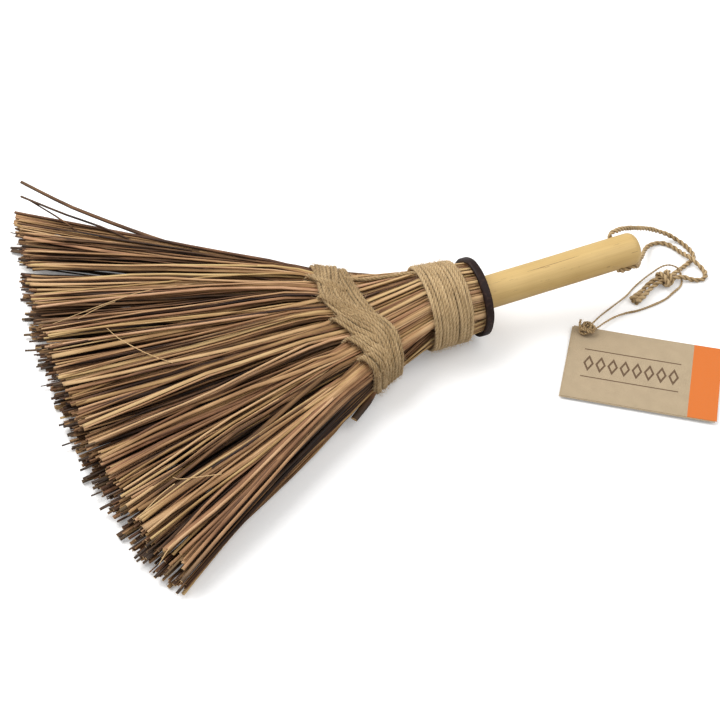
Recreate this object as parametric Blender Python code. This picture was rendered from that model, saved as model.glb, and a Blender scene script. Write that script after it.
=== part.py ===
"""A hand broom of coconut palm leaf ribs, lying flat.

The sticks stand in twelve bundles round a wooden stake, which is the inner end of the handle.
A collar ring holds their butts, a jute winding holds the neck, and two crossing jute windings
with a row of stitches hold the fan. A cord hangs from a hole in the handle and carries a card tag.

Lengths are in metres. The ring's foot is at x = 0, y = 0 and the handle points to +X while the
broom is modelled; at the end one empty carries everything, so that the world origin is under the
middle of the broom, on the surface it lies on.
"""

import math
import random
from dataclasses import dataclass

import bmesh
import bpy
import numpy as np
from mathutils import Matrix, Vector

# Handle, a turned stick whose inner end tapers to a stake inside the bundles
HANDLE_DIAMETER = 0.024
HANDLE_REACH = 0.1195
HANDLE_FOOT_HEIGHT = 0.033
HANDLE_FOOT_OFFSET = 0.008
HANDLE_RISE = math.radians(6)
HANDLE_END_ROUND = 0.007
HANDLE_END_TURN = math.radians(84)
HANDLE_END_STEPS = 5
HANDLE_END_FULL_SHARE = 0.6
HANDLE_SIDES = 28
STAKE_LENGTH = 0.083
STAKE_SHOULDER = 0.004
STAKE_TIP_DIAMETER = 0.008
HANG_HOLE_DIAMETER = 0.005
HANG_HOLE_SETBACK = 0.018
HANG_HOLE_TURN = math.radians(38)
HANG_HOLE_SIDES = 16
CUT_OVERRUN = 0.01

# Collar ring round the butts of the sticks
RING_DIAMETER = 0.058
RING_WIDTH = 0.006
RING_WALL = 0.003
RING_ROUND = 0.0012
RING_HEIGHT = 0.0322
RING_YAW = math.radians(4)
RING_SIDES = 36

# Clearances between pieces that touch on the real broom
CLEARANCE = 0.0003
BUNDLE_GAP = 0.0004
CORE_CLEARANCE = 0.0006

# Stick bundles: half widths, half heights and centre heights along the broom
BUTT_OVERHANG = 0.003
COLLAR_BACK = 0.0045
NECK_BACK = 0.0095
NECK_RADIUS = 0.0266
NECK_HEIGHT = 0.0319
THROAT_BACK = 0.0405
THROAT_HALF_WIDTH = 0.0288
THROAT_HALF_HEIGHT = 0.0255
THROAT_HEIGHT = 0.0302
FLARE_BACK = 0.060
FLARE_HALF_WIDTH = 0.0375
FLARE_HALF_HEIGHT = 0.0208
FLARE_HEIGHT = 0.0268
SHOULDER_BACK = 0.078
SHOULDER_HALF_WIDTH = 0.0475
SHOULDER_HALF_HEIGHT = 0.0174
SHOULDER_HEIGHT = 0.0241
WAIST_BACK = 0.095
WAIST_HALF_WIDTH = 0.0578
WAIST_HALF_HEIGHT = 0.0158
WAIST_HEIGHT = 0.0226
ROOT_BACK = 0.112
ROOT_HALF_WIDTH = 0.0722
ROOT_HALF_HEIGHT = 0.0168
ROOT_HEIGHT = 0.0230
FAN_SWAY = 0.0055
EDGE_SHARE = 0.93
RIB_HEIGHT = 0.0006
CORE_OPEN_SHARE = 1.5
SPREAD_SHARES = (0, 0, 0.05, 0.3, 0.55, 0.75, 0.88, 0.9)
SWAY_SHARES = (0, 0, 0, 0.3, 0.6, 0.85, 1, 1)
YAW_SHARES = (1, 1, 0.9, 0.2, 0, 0, 0, 0)
CORNER_POWERS = (2, 2, 2, 2.1, 2.3, 2.6, 3, 3.2)
FLARE_CORE_SHARE = 0.62
SHOULDER_CORE_SHARE = 0.9

# Fan of loose sticks beyond the backing
BUNDLES_ACROSS = 6
STICKS_ACROSS = 5
STICKS_DEEP = 5
FAN_APEX_BACK = 0.008
FAN_REACH = 0.291
FAN_HALF_ANGLE = math.radians(35.4)
TIP_ARC_RADIUS = 0.828
TIP_ARC_TILT = math.radians(7)
TIP_THICKNESS = 0.0255
TIP_EDGE_SHARE = 0.85
TIP_EDGE_POWER = 4
TIP_SLANT = 0.008
STICK_WIDTH = 0.0028
STICK_WIDTH_SHARES = (0.82, 1.12)
STICK_ROOT_WIDTH_SHARE = 0.62
STICK_HEIGHT_SHARE = 0.76
STICK_MARGIN_SHARE = 0.12
TIP_JITTER = 0.005
STAGGER_STEP = 3
STRAY_SPREAD = 0.034
STRAY_RISE = 0.009
STICK_SEED = 7

# Jute windings
NECK_CORD_DIAMETER = 0.0030
NECK_CORD_LOOPS = 7
NECK_CORD_PITCH = 0.0040
NECK_CORD_START = 0.0128
CROSS_CORD_DIAMETER = 0.0024
CROSS_CORD_LOOPS = 6
CROSS_CORD_PITCH = 0.0039
CROSS_CORD_START = 0.0805
CROSS_CORD_NEAR_SHIFT = 0.012
DIAGONAL_LOOPS = 4
DIAGONAL_PITCH = 0.0036
DIAGONAL_START = 0.0790
DIAGONAL_SWING = 0.0120
DIAGONAL_MIDDLE_SHARE = -0.25
DIAGONAL_SPAN_SHARE = 0.75
STITCH_BACK = 0.1088
STITCH_BULGE = 0.0011
STITCH_COUNT = 6
STITCH_POINTS = 31
STITCH_SPAN_SHARES = (0.10, 0.86)
POINTS_A_LOOP = 24
SAGITTA = 0.0004
LOWER_SAGITTA = 0.0006
LAYER_GAP = 0.0008
UNDERSIDE_SHARE = 0.74

ROUTE_STEPS = 12

# Hanging cord through the handle, and the knot that closes its loop
HANG_CORD_DIAMETER = 0.003
HANG_CORD_STEP = 0.0068
HANG_CORD_ROUTE = (
    (0.1240, -0.0090, 0.0015),
    (0.1330, -0.0040, 0.0018),
    (0.1425, 0.0010, 0.0036),
    (0.1500, 0.0022, 0.0048),
    (0.1566, 0.0022, 0.0048),
    (0.1630, 0.0028, 0.0048),
    (0.1675, 0.0048, 0.0044),
    (0.1715, 0.0076, 0.0032),
    (0.1765, 0.0108, 0.0018),
    (0.1815, 0.0133, 0.0015),
    (0.1872, 0.0164, 0.0015),
    (0.1907, 0.0200, 0.0015),
    (0.1913, 0.0258, 0.0015),
    (0.1900, 0.0335, 0.0016),
    (0.1868, 0.0400, 0.0025),
    (0.1800, 0.0446, 0.0062),
    (0.1710, 0.0447, 0.0118),
    (0.1601, 0.0412, 0.0200),
    (0.1461, 0.0344, 0.0300),
    (0.1334, 0.0276, 0.0380),
    (0.1216, 0.0217, 0.0446),
    (0.1130, 0.0182, 0.0500),
    (0.1084, 0.0150, 0.0552),
    (0.1084, 0.0095, 0.0509),
    (0.1084, 0.0000, 0.0435),
    (0.1084, -0.0095, 0.0361),
    (0.1092, -0.0140, 0.0326),
    (0.1130, -0.0125, 0.0282),
    (0.1185, -0.0050, 0.0246),
    (0.1250, 0.0030, 0.0212),
    (0.1337, 0.0112, 0.0165),
    (0.1418, 0.0179, 0.0120),
    (0.1490, 0.0262, 0.0080),
    (0.1580, 0.0368, 0.0042),
    (0.1650, 0.0416, 0.0022),
    (0.1715, 0.0425, 0.0015),
    (0.1765, 0.0400, 0.0015),
    (0.1802, 0.0350, 0.0015),
    (0.1826, 0.0286, 0.0018),
    (0.1840, 0.0220, 0.0034),
    (0.1852, 0.0152, 0.0054),
    (0.1875, 0.0090, 0.0042),
    (0.1902, 0.0044, 0.0018),
    (0.1899, -0.0008, 0.0015),
    (0.1864, -0.0050, 0.0015),
    (0.1815, -0.0052, 0.0016),
    (0.1765, -0.0036, 0.0022),
    (0.1718, -0.0014, 0.0036),
    (0.1670, -0.0006, 0.0048),
    (0.1620, -0.0012, 0.0048),
    (0.1566, -0.0012, 0.0048),
    (0.1500, -0.0018, 0.0048),
    (0.1430, -0.0050, 0.0036),
    (0.1350, -0.0100, 0.0018),
    (0.1262, -0.0146, 0.0015),
)
HANG_KNOT_CENTRE = (0.1566, 0.0005, 0.00495)
HANG_KNOT_HALF_WIDTH = 0.0060
HANG_KNOT_HALF_HEIGHT = 0.00345
HANG_KNOT_PITCH = 0.0037
HANG_KNOT_LOOPS = 2
HANG_KNOT_STOPS = 12

# Card tag with its string and knot
TAG_LENGTH = 0.107
TAG_WIDTH = 0.0715
TAG_THICKNESS = 0.0006
TAG_HEIGHT = 0.0015
TAG_HEADING = math.radians(-31.5)
TAG_KNOT_PLACE = (0.0781, -0.0307)
TAG_HOLE_FROM_END = 0.0097
TAG_HOLE_FROM_EDGE = 0.0048
TAG_HOLE_DIAMETER = 0.0024
TAG_HOLE_SIDES = 16
STRING_DIAMETER = 0.0012
STRING_STEP = 0.0034
STRING_ROUTE = (
    (0.0815, -0.0283, 0.0034),
    (0.0847, -0.0254, 0.0033),
    (0.0938, -0.0195, 0.0029),
    (0.1047, -0.0134, 0.0019),
    (0.1218, -0.0042, 0.0008),
    (0.1330, 0.0036, 0.0006),
    (0.1430, 0.0086, 0.0016),
    (0.1520, 0.0110, 0.0044),
    (0.1590, 0.0118, 0.0066),
    (0.1650, 0.0108, 0.0075),
    (0.1695, 0.0084, 0.0071),
    (0.1722, 0.0056, 0.0056),
    (0.1736, 0.0030, 0.0028),
    (0.1730, 0.0002, 0.0009),
    (0.1708, -0.0032, 0.0006),
    (0.1660, -0.0072, 0.0006),
    (0.1580, -0.0110, 0.0006),
    (0.1490, -0.0158, 0.0006),
    (0.1358, -0.0190, 0.0006),
    (0.1240, -0.0206, 0.0006),
    (0.1142, -0.0208, 0.0009),
    (0.1033, -0.0232, 0.0018),
    (0.0930, -0.0272, 0.0030),
    (0.0869, -0.0302, 0.0034),
    (0.0818, -0.0318, 0.0034),
)
TAG_KNOT_COIL_RADIUS = 0.0024
TAG_KNOT_COIL_PITCH = 0.0017
TAG_KNOT_COIL_FOOT = 0.0031
TAG_KNOT_COIL_LOOPS = 2
TAG_KNOT_STOPS = 10
TAG_KNOT_TAIL = 0.0048
TAG_KNOT_TAIL_LIFT = 0.0012
TAG_KNOT_UNDER = 0.0007
TAG_KNOT_EDGE_REACH = 0.00192
TAG_KNOT_FOLD = 0.0007
TAG_KNOT_UNDER_SHARE = 0.7
TAG_KNOT_STEP = 0.0015


@dataclass
class Station:
    """One cross-section of all the stick bundles, seen along the broom."""

    back: float
    half_width: float
    half_height: float
    height: float
    sway: float
    yaw: float
    corner: float
    spread_share: float
    core_width: float


def clear_scene():
    for obj in list(bpy.data.objects):
        bpy.data.objects.remove(obj, do_unlink=True)


def make_material(name, colour, roughness):
    material = bpy.data.materials.new(name)
    material.use_nodes = True
    shader = material.node_tree.nodes["Principled BSDF"]
    shader.inputs["Base Color"].default_value = (*colour, 1)
    shader.inputs["Roughness"].default_value = roughness
    shader.inputs["Metallic"].default_value = 0
    material.diffuse_color = (*colour, 1)
    return material


def stick_material(name):
    return make_material(name, (0.26, 0.14, 0.07), 0.75)


def jute_material(name):
    return make_material(name, (0.42, 0.31, 0.17), 0.95)


def link_object(name, data, material):
    obj = bpy.data.objects.new(name, data)
    bpy.context.scene.collection.objects.link(obj)
    data.materials.append(material)
    return obj


def mesh_object(name, points, faces, material, sharp_angle=None):
    """A closed mesh from points and faces, with its faces turned outward."""
    mesh = bpy.data.meshes.new(name)
    mesh.from_pydata([tuple(point) for point in points], [], faces)
    shape = bmesh.new()
    shape.from_mesh(mesh)
    bmesh.ops.recalc_face_normals(shape, faces=shape.faces)
    shape.to_mesh(mesh)
    shape.free()
    if sharp_angle is not None:
        mesh.shade_smooth()
        mesh.set_sharp_from_angle(angle=sharp_angle)
    return link_object(name, mesh, material)


def turned_mesh(name, profile, sides, material):
    """A solid turned about X from (x, radius) points; a closed profile gives a ring."""
    closed = profile[0] == profile[-1]
    rows = profile[:-1] if closed else profile
    points = []
    for x, radius in rows:
        for side in range(sides):
            turn = math.tau * side / sides
            points.append((x, radius * math.cos(turn), radius * math.sin(turn)))
    faces = []
    spans = len(rows) if closed else len(rows) - 1
    for row in range(spans):
        low = row * sides
        high = ((row + 1) % len(rows)) * sides
        for side in range(sides):
            after = (side + 1) % sides
            faces.append((low + side, low + after, high + after, high + side))
    if not closed:
        faces.append(tuple(range(sides)))
        faces.append(tuple(range(spans * sides, (spans + 1) * sides)))
    return mesh_object(name, points, faces, material, sharp_angle=math.radians(35))


def handle_axis():
    return Vector((math.cos(HANDLE_RISE), 0, math.sin(HANDLE_RISE)))


def handle_point(along):
    """A point of the handle's axis, measured from its foot just outside the ring."""
    foot = Vector((HANDLE_FOOT_OFFSET, 0, HANDLE_FOOT_HEIGHT))
    return foot + handle_axis() * along


def stake_radius(back):
    """The stake's radius at a distance behind the ring, which keeps its tip's size past the tip."""
    along = min(back + HANDLE_FOOT_OFFSET, STAKE_LENGTH)
    full = HANDLE_DIAMETER / 2
    tip = STAKE_TIP_DIAMETER / 2
    share = max(0, (along - STAKE_SHOULDER) / (STAKE_LENGTH - STAKE_SHOULDER))
    return full + (tip - full) * share


def handle_profile():
    full = HANDLE_DIAMETER / 2
    profile = [(-STAKE_LENGTH, STAKE_TIP_DIAMETER / 2), (-STAKE_SHOULDER, full)]
    start = HANDLE_REACH - HANDLE_END_ROUND
    profile.append((start, full))
    for step in range(1, HANDLE_END_STEPS + 1):
        turn = HANDLE_END_TURN * step / HANDLE_END_STEPS
        radius = full * math.cos(turn) ** HANDLE_END_FULL_SHARE
        profile.append((start + HANDLE_END_ROUND * math.sin(turn), radius))
    return profile


def make_handle():
    handle = turned_mesh(
        "handle",
        handle_profile(),
        HANDLE_SIDES,
        make_material("handle", (0.66, 0.43, 0.19), 0.5),
    )
    handle.location = handle_point(0)
    handle.rotation_euler = (0, -HANDLE_RISE, 0)
    half = HANDLE_DIAMETER / 2 + CUT_OVERRUN
    radius = HANG_HOLE_DIAMETER / 2
    profile = [(-half, radius), (half, radius)]
    cutter = turned_mesh(
        "hang_hole_cutter", profile, HANG_HOLE_SIDES, make_material("cutter", (1, 1, 1), 1)
    )
    cutter.location = handle_point(HANDLE_REACH - HANG_HOLE_SETBACK)
    turned_up = Matrix.Rotation(HANG_HOLE_TURN, 3, "X") @ Vector((0, 1, 0))
    cutter.rotation_mode = "QUATERNION"
    cutter.rotation_quaternion = Vector((1, 0, 0)).rotation_difference(turned_up)
    cutter.hide_render = True
    cutter.display_type = "WIRE"
    cut = handle.modifiers.new("hang_hole", "BOOLEAN")
    cut.operation = "DIFFERENCE"
    cut.solver = "EXACT"
    cut.object = cutter
    return [handle, cutter]


def make_collar_ring():
    outer = RING_DIAMETER / 2
    inner = outer - RING_WALL
    half = RING_WIDTH / 2
    profile = [
        (-half, inner + RING_ROUND / 2),
        (-half + RING_ROUND / 2, inner),
        (half - RING_ROUND / 2, inner),
        (half, inner + RING_ROUND / 2),
        (half, outer - RING_ROUND),
        (half - RING_ROUND, outer),
        (-half + RING_ROUND, outer),
        (-half, outer - RING_ROUND),
        (-half, inner + RING_ROUND / 2),
    ]
    ring = turned_mesh(
        "collar_ring", profile, RING_SIDES, make_material("collar_ring", (0.03, 0.018, 0.013), 0.4)
    )
    ring.location = (0, 0, RING_HEIGHT)
    ring.rotation_euler = (0, 0, RING_YAW)
    return ring


def bundle_stations():
    """The cross-sections that all bundles are lofted through, from the butts to the roots."""
    butt = RING_DIAMETER / 2 - RING_WALL - CLEARANCE - RIB_HEIGHT - BUNDLE_GAP / 2
    core = HANDLE_DIAMETER / 2 + CORE_CLEARANCE
    flare_core = FLARE_HALF_WIDTH * FLARE_CORE_SHARE
    shoulder_core = SHOULDER_HALF_WIDTH * SHOULDER_CORE_SHARE
    sizes = (
        (-BUTT_OVERHANG, butt, butt, RING_HEIGHT, core),
        (COLLAR_BACK, butt, butt, RING_HEIGHT, core),
        (NECK_BACK, NECK_RADIUS, NECK_RADIUS, NECK_HEIGHT, core),
        (THROAT_BACK, THROAT_HALF_WIDTH, THROAT_HALF_HEIGHT, THROAT_HEIGHT, core),
        (FLARE_BACK, FLARE_HALF_WIDTH, FLARE_HALF_HEIGHT, FLARE_HEIGHT, flare_core),
        (SHOULDER_BACK, SHOULDER_HALF_WIDTH, SHOULDER_HALF_HEIGHT, SHOULDER_HEIGHT, shoulder_core),
        (WAIST_BACK, WAIST_HALF_WIDTH, WAIST_HALF_HEIGHT, WAIST_HEIGHT, WAIST_HALF_WIDTH),
        (ROOT_BACK, ROOT_HALF_WIDTH, ROOT_HALF_HEIGHT, ROOT_HEIGHT, ROOT_HALF_WIDTH),
    )
    stations = []
    for size, spread, sway, yaw, corner in zip(
        sizes, SPREAD_SHARES, SWAY_SHARES, YAW_SHARES, CORNER_POWERS
    ):
        back, half_width, half_height, height, core_width = size
        stations.append(
            Station(
                back=back,
                half_width=half_width,
                half_height=half_height,
                height=height,
                sway=FAN_SWAY * sway,
                yaw=RING_YAW * yaw,
                corner=corner,
                spread_share=spread,
                core_width=core_width,
            )
        )
    return stations


def across(station, share):
    """Where a share of the way round the upper half lies between -1 and 1 of the half width."""
    edge = 1 - station.spread_share * (1 - EDGE_SHARE)
    turned = (1 - station.spread_share) * math.cos(math.pi * share)
    spread = station.spread_share * EDGE_SHARE * (1 - 2 * share)
    return (turned + spread) / edge


def outer_offset(station, share):
    """(sideways, upward) from the section's centre to its outer surface."""
    edge = 1 - station.spread_share * (1 - EDGE_SHARE)
    place = across(station, share)
    rise = max(0, 1 - abs(place * edge) ** station.corner) ** (1 / station.corner)
    return station.half_width * place, station.half_height * rise


def core_offset(station, share, layer):
    """(sideways, upward) to the opening round the stake, or to the middle slit beside it."""
    place = across(station, share)
    on_handle = 1 - place * place
    axis_height = handle_point(-station.back - HANDLE_FOOT_OFFSET).z
    sideways = station.core_width * place - station.sway * on_handle
    upward = layer * (axis_height - station.height) * on_handle
    if station.back > SHOULDER_BACK:
        return sideways, upward
    radius = stake_radius(station.back) + CORE_CLEARANCE
    open_width = min(station.core_width, radius * CORE_OPEN_SHARE)
    reach = min(1, abs(station.core_width * place) / open_width)
    return sideways, upward + radius * math.sqrt(1 - reach * reach)


def section_point(station, offset, layer):
    """A point of the section's plane in broom space; layer is 1 above the slit and -1 below."""
    sideways, upward = offset
    side = Vector((-math.sin(station.yaw), math.cos(station.yaw), 0))
    centre = Vector((-station.back, station.sway, station.height))
    return centre + side * sideways + Vector((0, 0, layer * (upward + BUNDLE_GAP / 2)))


def lofted_point(station, layer, share, depth):
    """The point at a share of the way across and a depth from the core (0) to the surface (1)."""
    core = Vector((*core_offset(station, share, layer), 0))
    outer = Vector((*outer_offset(station, share), 0))
    mixed = core.lerp(outer, depth)
    return section_point(station, (mixed.x, mixed.y), layer)


def ridge_point(station, layer, share):
    """A point on the rounded back of an outermost stick, a rib's height off the surface."""
    sideways, upward = outer_offset(station, share)
    lean = Vector((sideways / station.half_width, upward / station.half_height))
    lean = lean.normalized() * RIB_HEIGHT
    return section_point(station, (sideways + lean.x, upward + lean.y), layer)


def bundle_share(station, layer, bundle, column, depth):
    """The share of the way across of a column line, drawn in to leave the gap between bundles."""
    low = lofted_point(station, layer, bundle / BUNDLES_ACROSS, depth)
    high = lofted_point(station, layer, (bundle + 1) / BUNDLES_ACROSS, depth)
    inset = BUNDLE_GAP / 2 / (high - low).length
    within = inset + (1 - 2 * inset) * column / STICKS_ACROSS
    return (bundle + within) / BUNDLES_ACROSS


def grid_point(station, layer, bundle, column, row):
    depth = row / STICKS_DEEP
    share = bundle_share(station, layer, bundle, column, depth)
    return lofted_point(station, layer, share, depth)


def bundle_outline(station, layer, bundle):
    """The section's edge in order: core row, near side, ribbed outer row, far side."""
    core = [grid_point(station, layer, bundle, column, 0) for column in range(STICKS_ACROSS + 1)]
    last = STICKS_ACROSS
    rising = [grid_point(station, layer, bundle, last, row) for row in range(1, STICKS_DEEP)]
    falling = [grid_point(station, layer, bundle, 0, row) for row in range(STICKS_DEEP - 1, 0, -1)]
    outer = []
    for column in range(last, 0, -1):
        outer.append(grid_point(station, layer, bundle, column, STICKS_DEEP))
        share = bundle_share(station, layer, bundle, column - 0.5, 1)
        outer.append(ridge_point(station, layer, share))
    outer.append(grid_point(station, layer, bundle, 0, STICKS_DEEP))
    return core + rising + outer + falling


def outline_index(column, row):
    """Where a grid point of the section's edge stands in bundle_outline, or None inside it."""
    outer_start = STICKS_ACROSS + STICKS_DEEP
    if row == 0:
        return column
    if row == STICKS_DEEP:
        return outer_start + 2 * (STICKS_ACROSS - column)
    if column == STICKS_ACROSS:
        return STICKS_ACROSS + row
    if column == 0:
        return outer_start + 2 * STICKS_ACROSS + STICKS_DEEP - row
    return None


def tip_frame(share):
    """The fan's tip arc at a share of the way across: its point, sideways and outward directions."""
    apex = Vector((-FAN_APEX_BACK, FAN_SWAY, 0))
    lean = Vector((math.cos(TIP_ARC_TILT), math.sin(TIP_ARC_TILT), 0))
    centre = apex + Vector((-FAN_REACH, 0, 0)) + lean * TIP_ARC_RADIUS
    turn = FAN_HALF_ANGLE * (1 - 2 * share)
    outward = Vector((-math.cos(turn), math.sin(turn), 0))
    side = Vector((-math.sin(turn), -math.cos(turn), 0))
    start = apex - centre
    along = start.dot(outward)
    reach = math.sqrt(along * along - start.length_squared + TIP_ARC_RADIUS**2) - along
    return apex + outward * reach, side, outward


def tip_height(share, layer, depth_rows):
    """Height of a row line at the tips; the lowest sticks lie flat on the ground."""
    edge = abs(1 - 2 * share) ** TIP_EDGE_POWER
    thickness = TIP_THICKNESS * (1 - (1 - TIP_EDGE_SHARE) * edge)
    row_height = thickness / (2 * STICKS_DEEP)
    return row_height * (STICKS_DEEP + layer * depth_rows - STICK_MARGIN_SHARE)


def stick_depths(layer):
    """Depth shares in a cell of the stick's flat underside and of its ridge."""
    ridge = STICK_MARGIN_SHARE + STICK_HEIGHT_SHARE
    if layer > 0:
        return STICK_MARGIN_SHARE, ridge
    return 1 - STICK_MARGIN_SHARE, 1 - ridge


def stick_tip(layer, bundle, column, row, chance):
    """The three corners of a stick's cut end: two of its underside, then its ridge."""
    slots = 2 * STICKS_DEEP
    row_number = STICKS_DEEP + row if layer > 0 else STICKS_DEEP - 1 - row
    slot = (row_number * STAGGER_STEP) % slots
    within = (slot + 0.5) / slots
    share = (bundle + (column + within) / STICKS_ACROSS) / BUNDLES_ACROSS
    place, side, outward = tip_frame(share)
    slant = TIP_SLANT * (1 - row_number / (slots - 1))
    place = place + outward * (chance.uniform(-TIP_JITTER, TIP_JITTER) - slant)
    width = STICK_WIDTH * chance.uniform(*STICK_WIDTH_SHARES)
    flat, ridge = stick_depths(layer)
    flat_height = tip_height(share, layer, row + flat)
    ridge_height = tip_height(share, layer, row + ridge)
    if (layer, bundle, column, row) == (1, 0, 0, STICKS_DEEP - 1):
        place = place - side * STRAY_SPREAD
        flat_height += STRAY_RISE
        ridge_height += STRAY_RISE
    up = Vector((0, 0, 1))
    return (
        place - side * width / 2 + up * flat_height,
        place + side * width / 2 + up * flat_height,
        place + up * ridge_height,
    )


def stick_root(corners, layer):
    """The stick's three corners in its cell of the root section."""
    flat, ridge = stick_depths(layer)
    half = STICK_ROOT_WIDTH_SHARE / 2

    def within(across_share, depth_share):
        low = corners[0].lerp(corners[1], across_share)
        high = corners[3].lerp(corners[2], across_share)
        return low.lerp(high, depth_share)

    return within(0.5 - half, flat), within(0.5 + half, flat), within(0.5, ridge)


def cell_faces(cell, crest, root, layer):
    """Faces of the root section between one cell's edge and the stick that leaves it."""
    first, second, third, fourth = cell
    left, right, ridge = root
    outer = [third, crest, fourth] if crest is not None else [third, fourth]
    if layer > 0:
        return [
            (first, second, right, left),
            (second, third, ridge, right),
            (*outer, ridge),
            (fourth, first, left, ridge),
        ]
    return [
        (first, second, ridge),
        (second, third, right, ridge),
        (*outer, left, right),
        (fourth, first, ridge, left),
    ]


def backing_faces(low, edge):
    """Triangles between two outlines; the two walls of a gap between bundles fold alike."""
    faces = []
    falling = STICKS_ACROSS * 3 + STICKS_DEEP
    for step in range(edge):
        near = low + step
        after = low + (step + 1) % edge
        if step >= falling:
            faces.append((near, after, near + edge))
            faces.append((after, after + edge, near + edge))
        else:
            faces.append((near, after, after + edge))
            faces.append((near, after + edge, near + edge))
    return faces


def make_bundle(layer, bundle, chance):
    """One handful of sticks: a backing lofted through the stations, and its loose sticks."""
    stations = bundle_stations()
    points = []
    faces = []
    for station in stations:
        points += bundle_outline(station, layer, bundle)
    edge = len(points) // len(stations)
    for span in range(len(stations) - 1):
        faces += backing_faces(span * edge, edge)
    faces.append(tuple(range(edge)))
    root = stations[-1]
    last = (len(stations) - 1) * edge
    numbers = {}
    for row in range(STICKS_DEEP + 1):
        for column in range(STICKS_ACROSS + 1):
            index = outline_index(column, row)
            if index is None:
                numbers[column, row] = len(points)
                points.append(grid_point(root, layer, bundle, column, row))
            else:
                numbers[column, row] = last + index
    for row in range(STICKS_DEEP):
        for column in range(STICKS_ACROSS):
            cell = (
                numbers[column, row],
                numbers[column + 1, row],
                numbers[column + 1, row + 1],
                numbers[column, row + 1],
            )
            start = len(points)
            points += stick_root([points[number] for number in cell], layer)
            points += stick_tip(layer, bundle, column, row, chance)
            foot = (start, start + 1, start + 2)
            end = (start + 3, start + 4, start + 5)
            crest = cell[3] - 1 if row == STICKS_DEEP - 1 else None
            faces += cell_faces(cell, crest, foot, layer)
            for step in range(3):
                after = (step + 1) % 3
                faces.append((foot[step], foot[after], end[after], end[step]))
            faces.append(end)
    level = "upper" if layer > 0 else "lower"
    name = f"{level}_stick_bundle_{bundle + 1}"
    return mesh_object(name, points, faces, stick_material(name))


def make_bundles():
    chance = random.Random(STICK_SEED)
    bundles = []
    for layer in (1, -1):
        for bundle in range(BUNDLES_ACROSS):
            bundles.append(make_bundle(layer, bundle, chance))
    return bundles


def lifted_outline(station, lift):
    """The section's whole outline, a distance off its surface, as points in broom space."""
    steps = BUNDLES_ACROSS * STICKS_ACROSS
    flat = []
    for step in range(steps + 1):
        sideways, upward = outer_offset(station, step / steps)
        flat.append((sideways, upward + BUNDLE_GAP / 2))
    for step in range(steps, -1, -1):
        sideways, upward = outer_offset(station, step / steps)
        flat.append((sideways, -upward - BUNDLE_GAP / 2))
    edge = np.array(flat)
    tangent = np.roll(edge, -1, axis=0) - np.roll(edge, 1, axis=0)
    tangent /= np.linalg.norm(tangent, axis=1)[:, None]
    normal = np.column_stack((tangent[:, 1], -tangent[:, 0]))
    edge = edge + normal * lift
    side = np.array((-math.sin(station.yaw), math.cos(station.yaw), 0))
    centre = np.array((-station.back, station.sway, station.height))
    return centre + edge[:, :1] * side + edge[:, 1:] * np.array((0, 0, 1))


def between(values, index):
    """The value at a fractional index of a closed list."""
    low = math.floor(index)
    share = index - low
    count = len(values)
    return values[low % count] * (1 - share) + values[(low + 1) % count] * share


def even_stops(outline):
    """Fractional indices for one loop's points, closer together where the outline turns fast."""
    edges = np.roll(outline, -1, axis=0) - outline
    lengths = np.linalg.norm(edges, axis=1)
    before = np.roll(edges, 1, axis=0)
    cosines = (edges * before).sum(axis=1) / (lengths * np.roll(lengths, 1))
    turns = np.arccos(np.clip(cosines, -1, 1))
    bends = (turns + np.roll(turns, -1)) / 2 / lengths
    weights = lengths * np.sqrt(bends + 1 / lengths.sum())
    summed = np.concatenate(([0], np.cumsum(weights)))
    marks = np.linspace(0, summed[-1], POINTS_A_LOOP, endpoint=False)
    return np.interp(marks, summed, np.arange(len(outline) + 1))


def wound_points(loops, lift, middle_back, back_at):
    """Points of a winding on the bundles; back_at gives the distance for (turns, sideways share)."""
    stations = bundle_stations()
    backs = [station.back for station in stations]
    rings = [lifted_outline(station, lift) for station in stations]
    middle = rings[backs.index(middle_back)]
    stops = even_stops(middle)
    start = int(np.searchsorted(stops, len(middle) * UNDERSIDE_SHARE))
    points = []
    for number in range(loops * POINTS_A_LOOP + 1):
        turn, stop = divmod(number + start, POINTS_A_LOOP)
        index = stops[stop]
        share = index / (len(middle) / 2 - 0.5)
        share = share if share <= 1 else 2 - share
        place = math.cos(math.pi * min(1, max(0, share)))
        back = back_at(number / POINTS_A_LOOP, place)
        behind = int(np.clip(np.searchsorted(backs, back) - 1, 0, len(backs) - 2))
        along = (back - backs[behind]) / (backs[behind + 1] - backs[behind])
        low = between(rings[behind], index)
        high = between(rings[behind + 1], index)
        points.append(low * (1 - along) + high * along)
    return np.array(points)


def with_straight_ends(points, diameter):
    """The same route with each end run on straight by one diameter."""
    start = points[0] - points[1]
    end = points[-1] - points[-2]
    first = points[0] + start / np.linalg.norm(start) * diameter
    last = points[-1] + end / np.linalg.norm(end) * diameter
    return np.vstack((first, points, last))


def least_gap(points, loop_points, diameter):
    """The least clear distance between one turn of a tube and the others, from its points."""
    fine = np.array([between(points, step / 4) for step in range(4 * (len(points) - 1) + 1)])
    apart = loop_points * 2
    nearest = math.inf
    for number in range(len(fine) - apart):
        others = fine[number + apart :]
        nearest = min(nearest, np.linalg.norm(others - fine[number], axis=1).min())
    return nearest - diameter


def make_tube(name, points, diameter, bevel_steps, material):
    """An open tube along the points, with closed ends."""
    curve = bpy.data.curves.new(name, "CURVE")
    curve.dimensions = "3D"
    spline = curve.splines.new("POLY")
    spline.points.add(len(points) - 1)
    for place, point in zip(spline.points, points):
        place.co = (*point, 1)
    spline.use_smooth = True
    curve.bevel_depth = diameter / 2
    curve.bevel_resolution = bevel_steps
    curve.use_fill_caps = True
    return link_object(name, curve, material)


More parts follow.
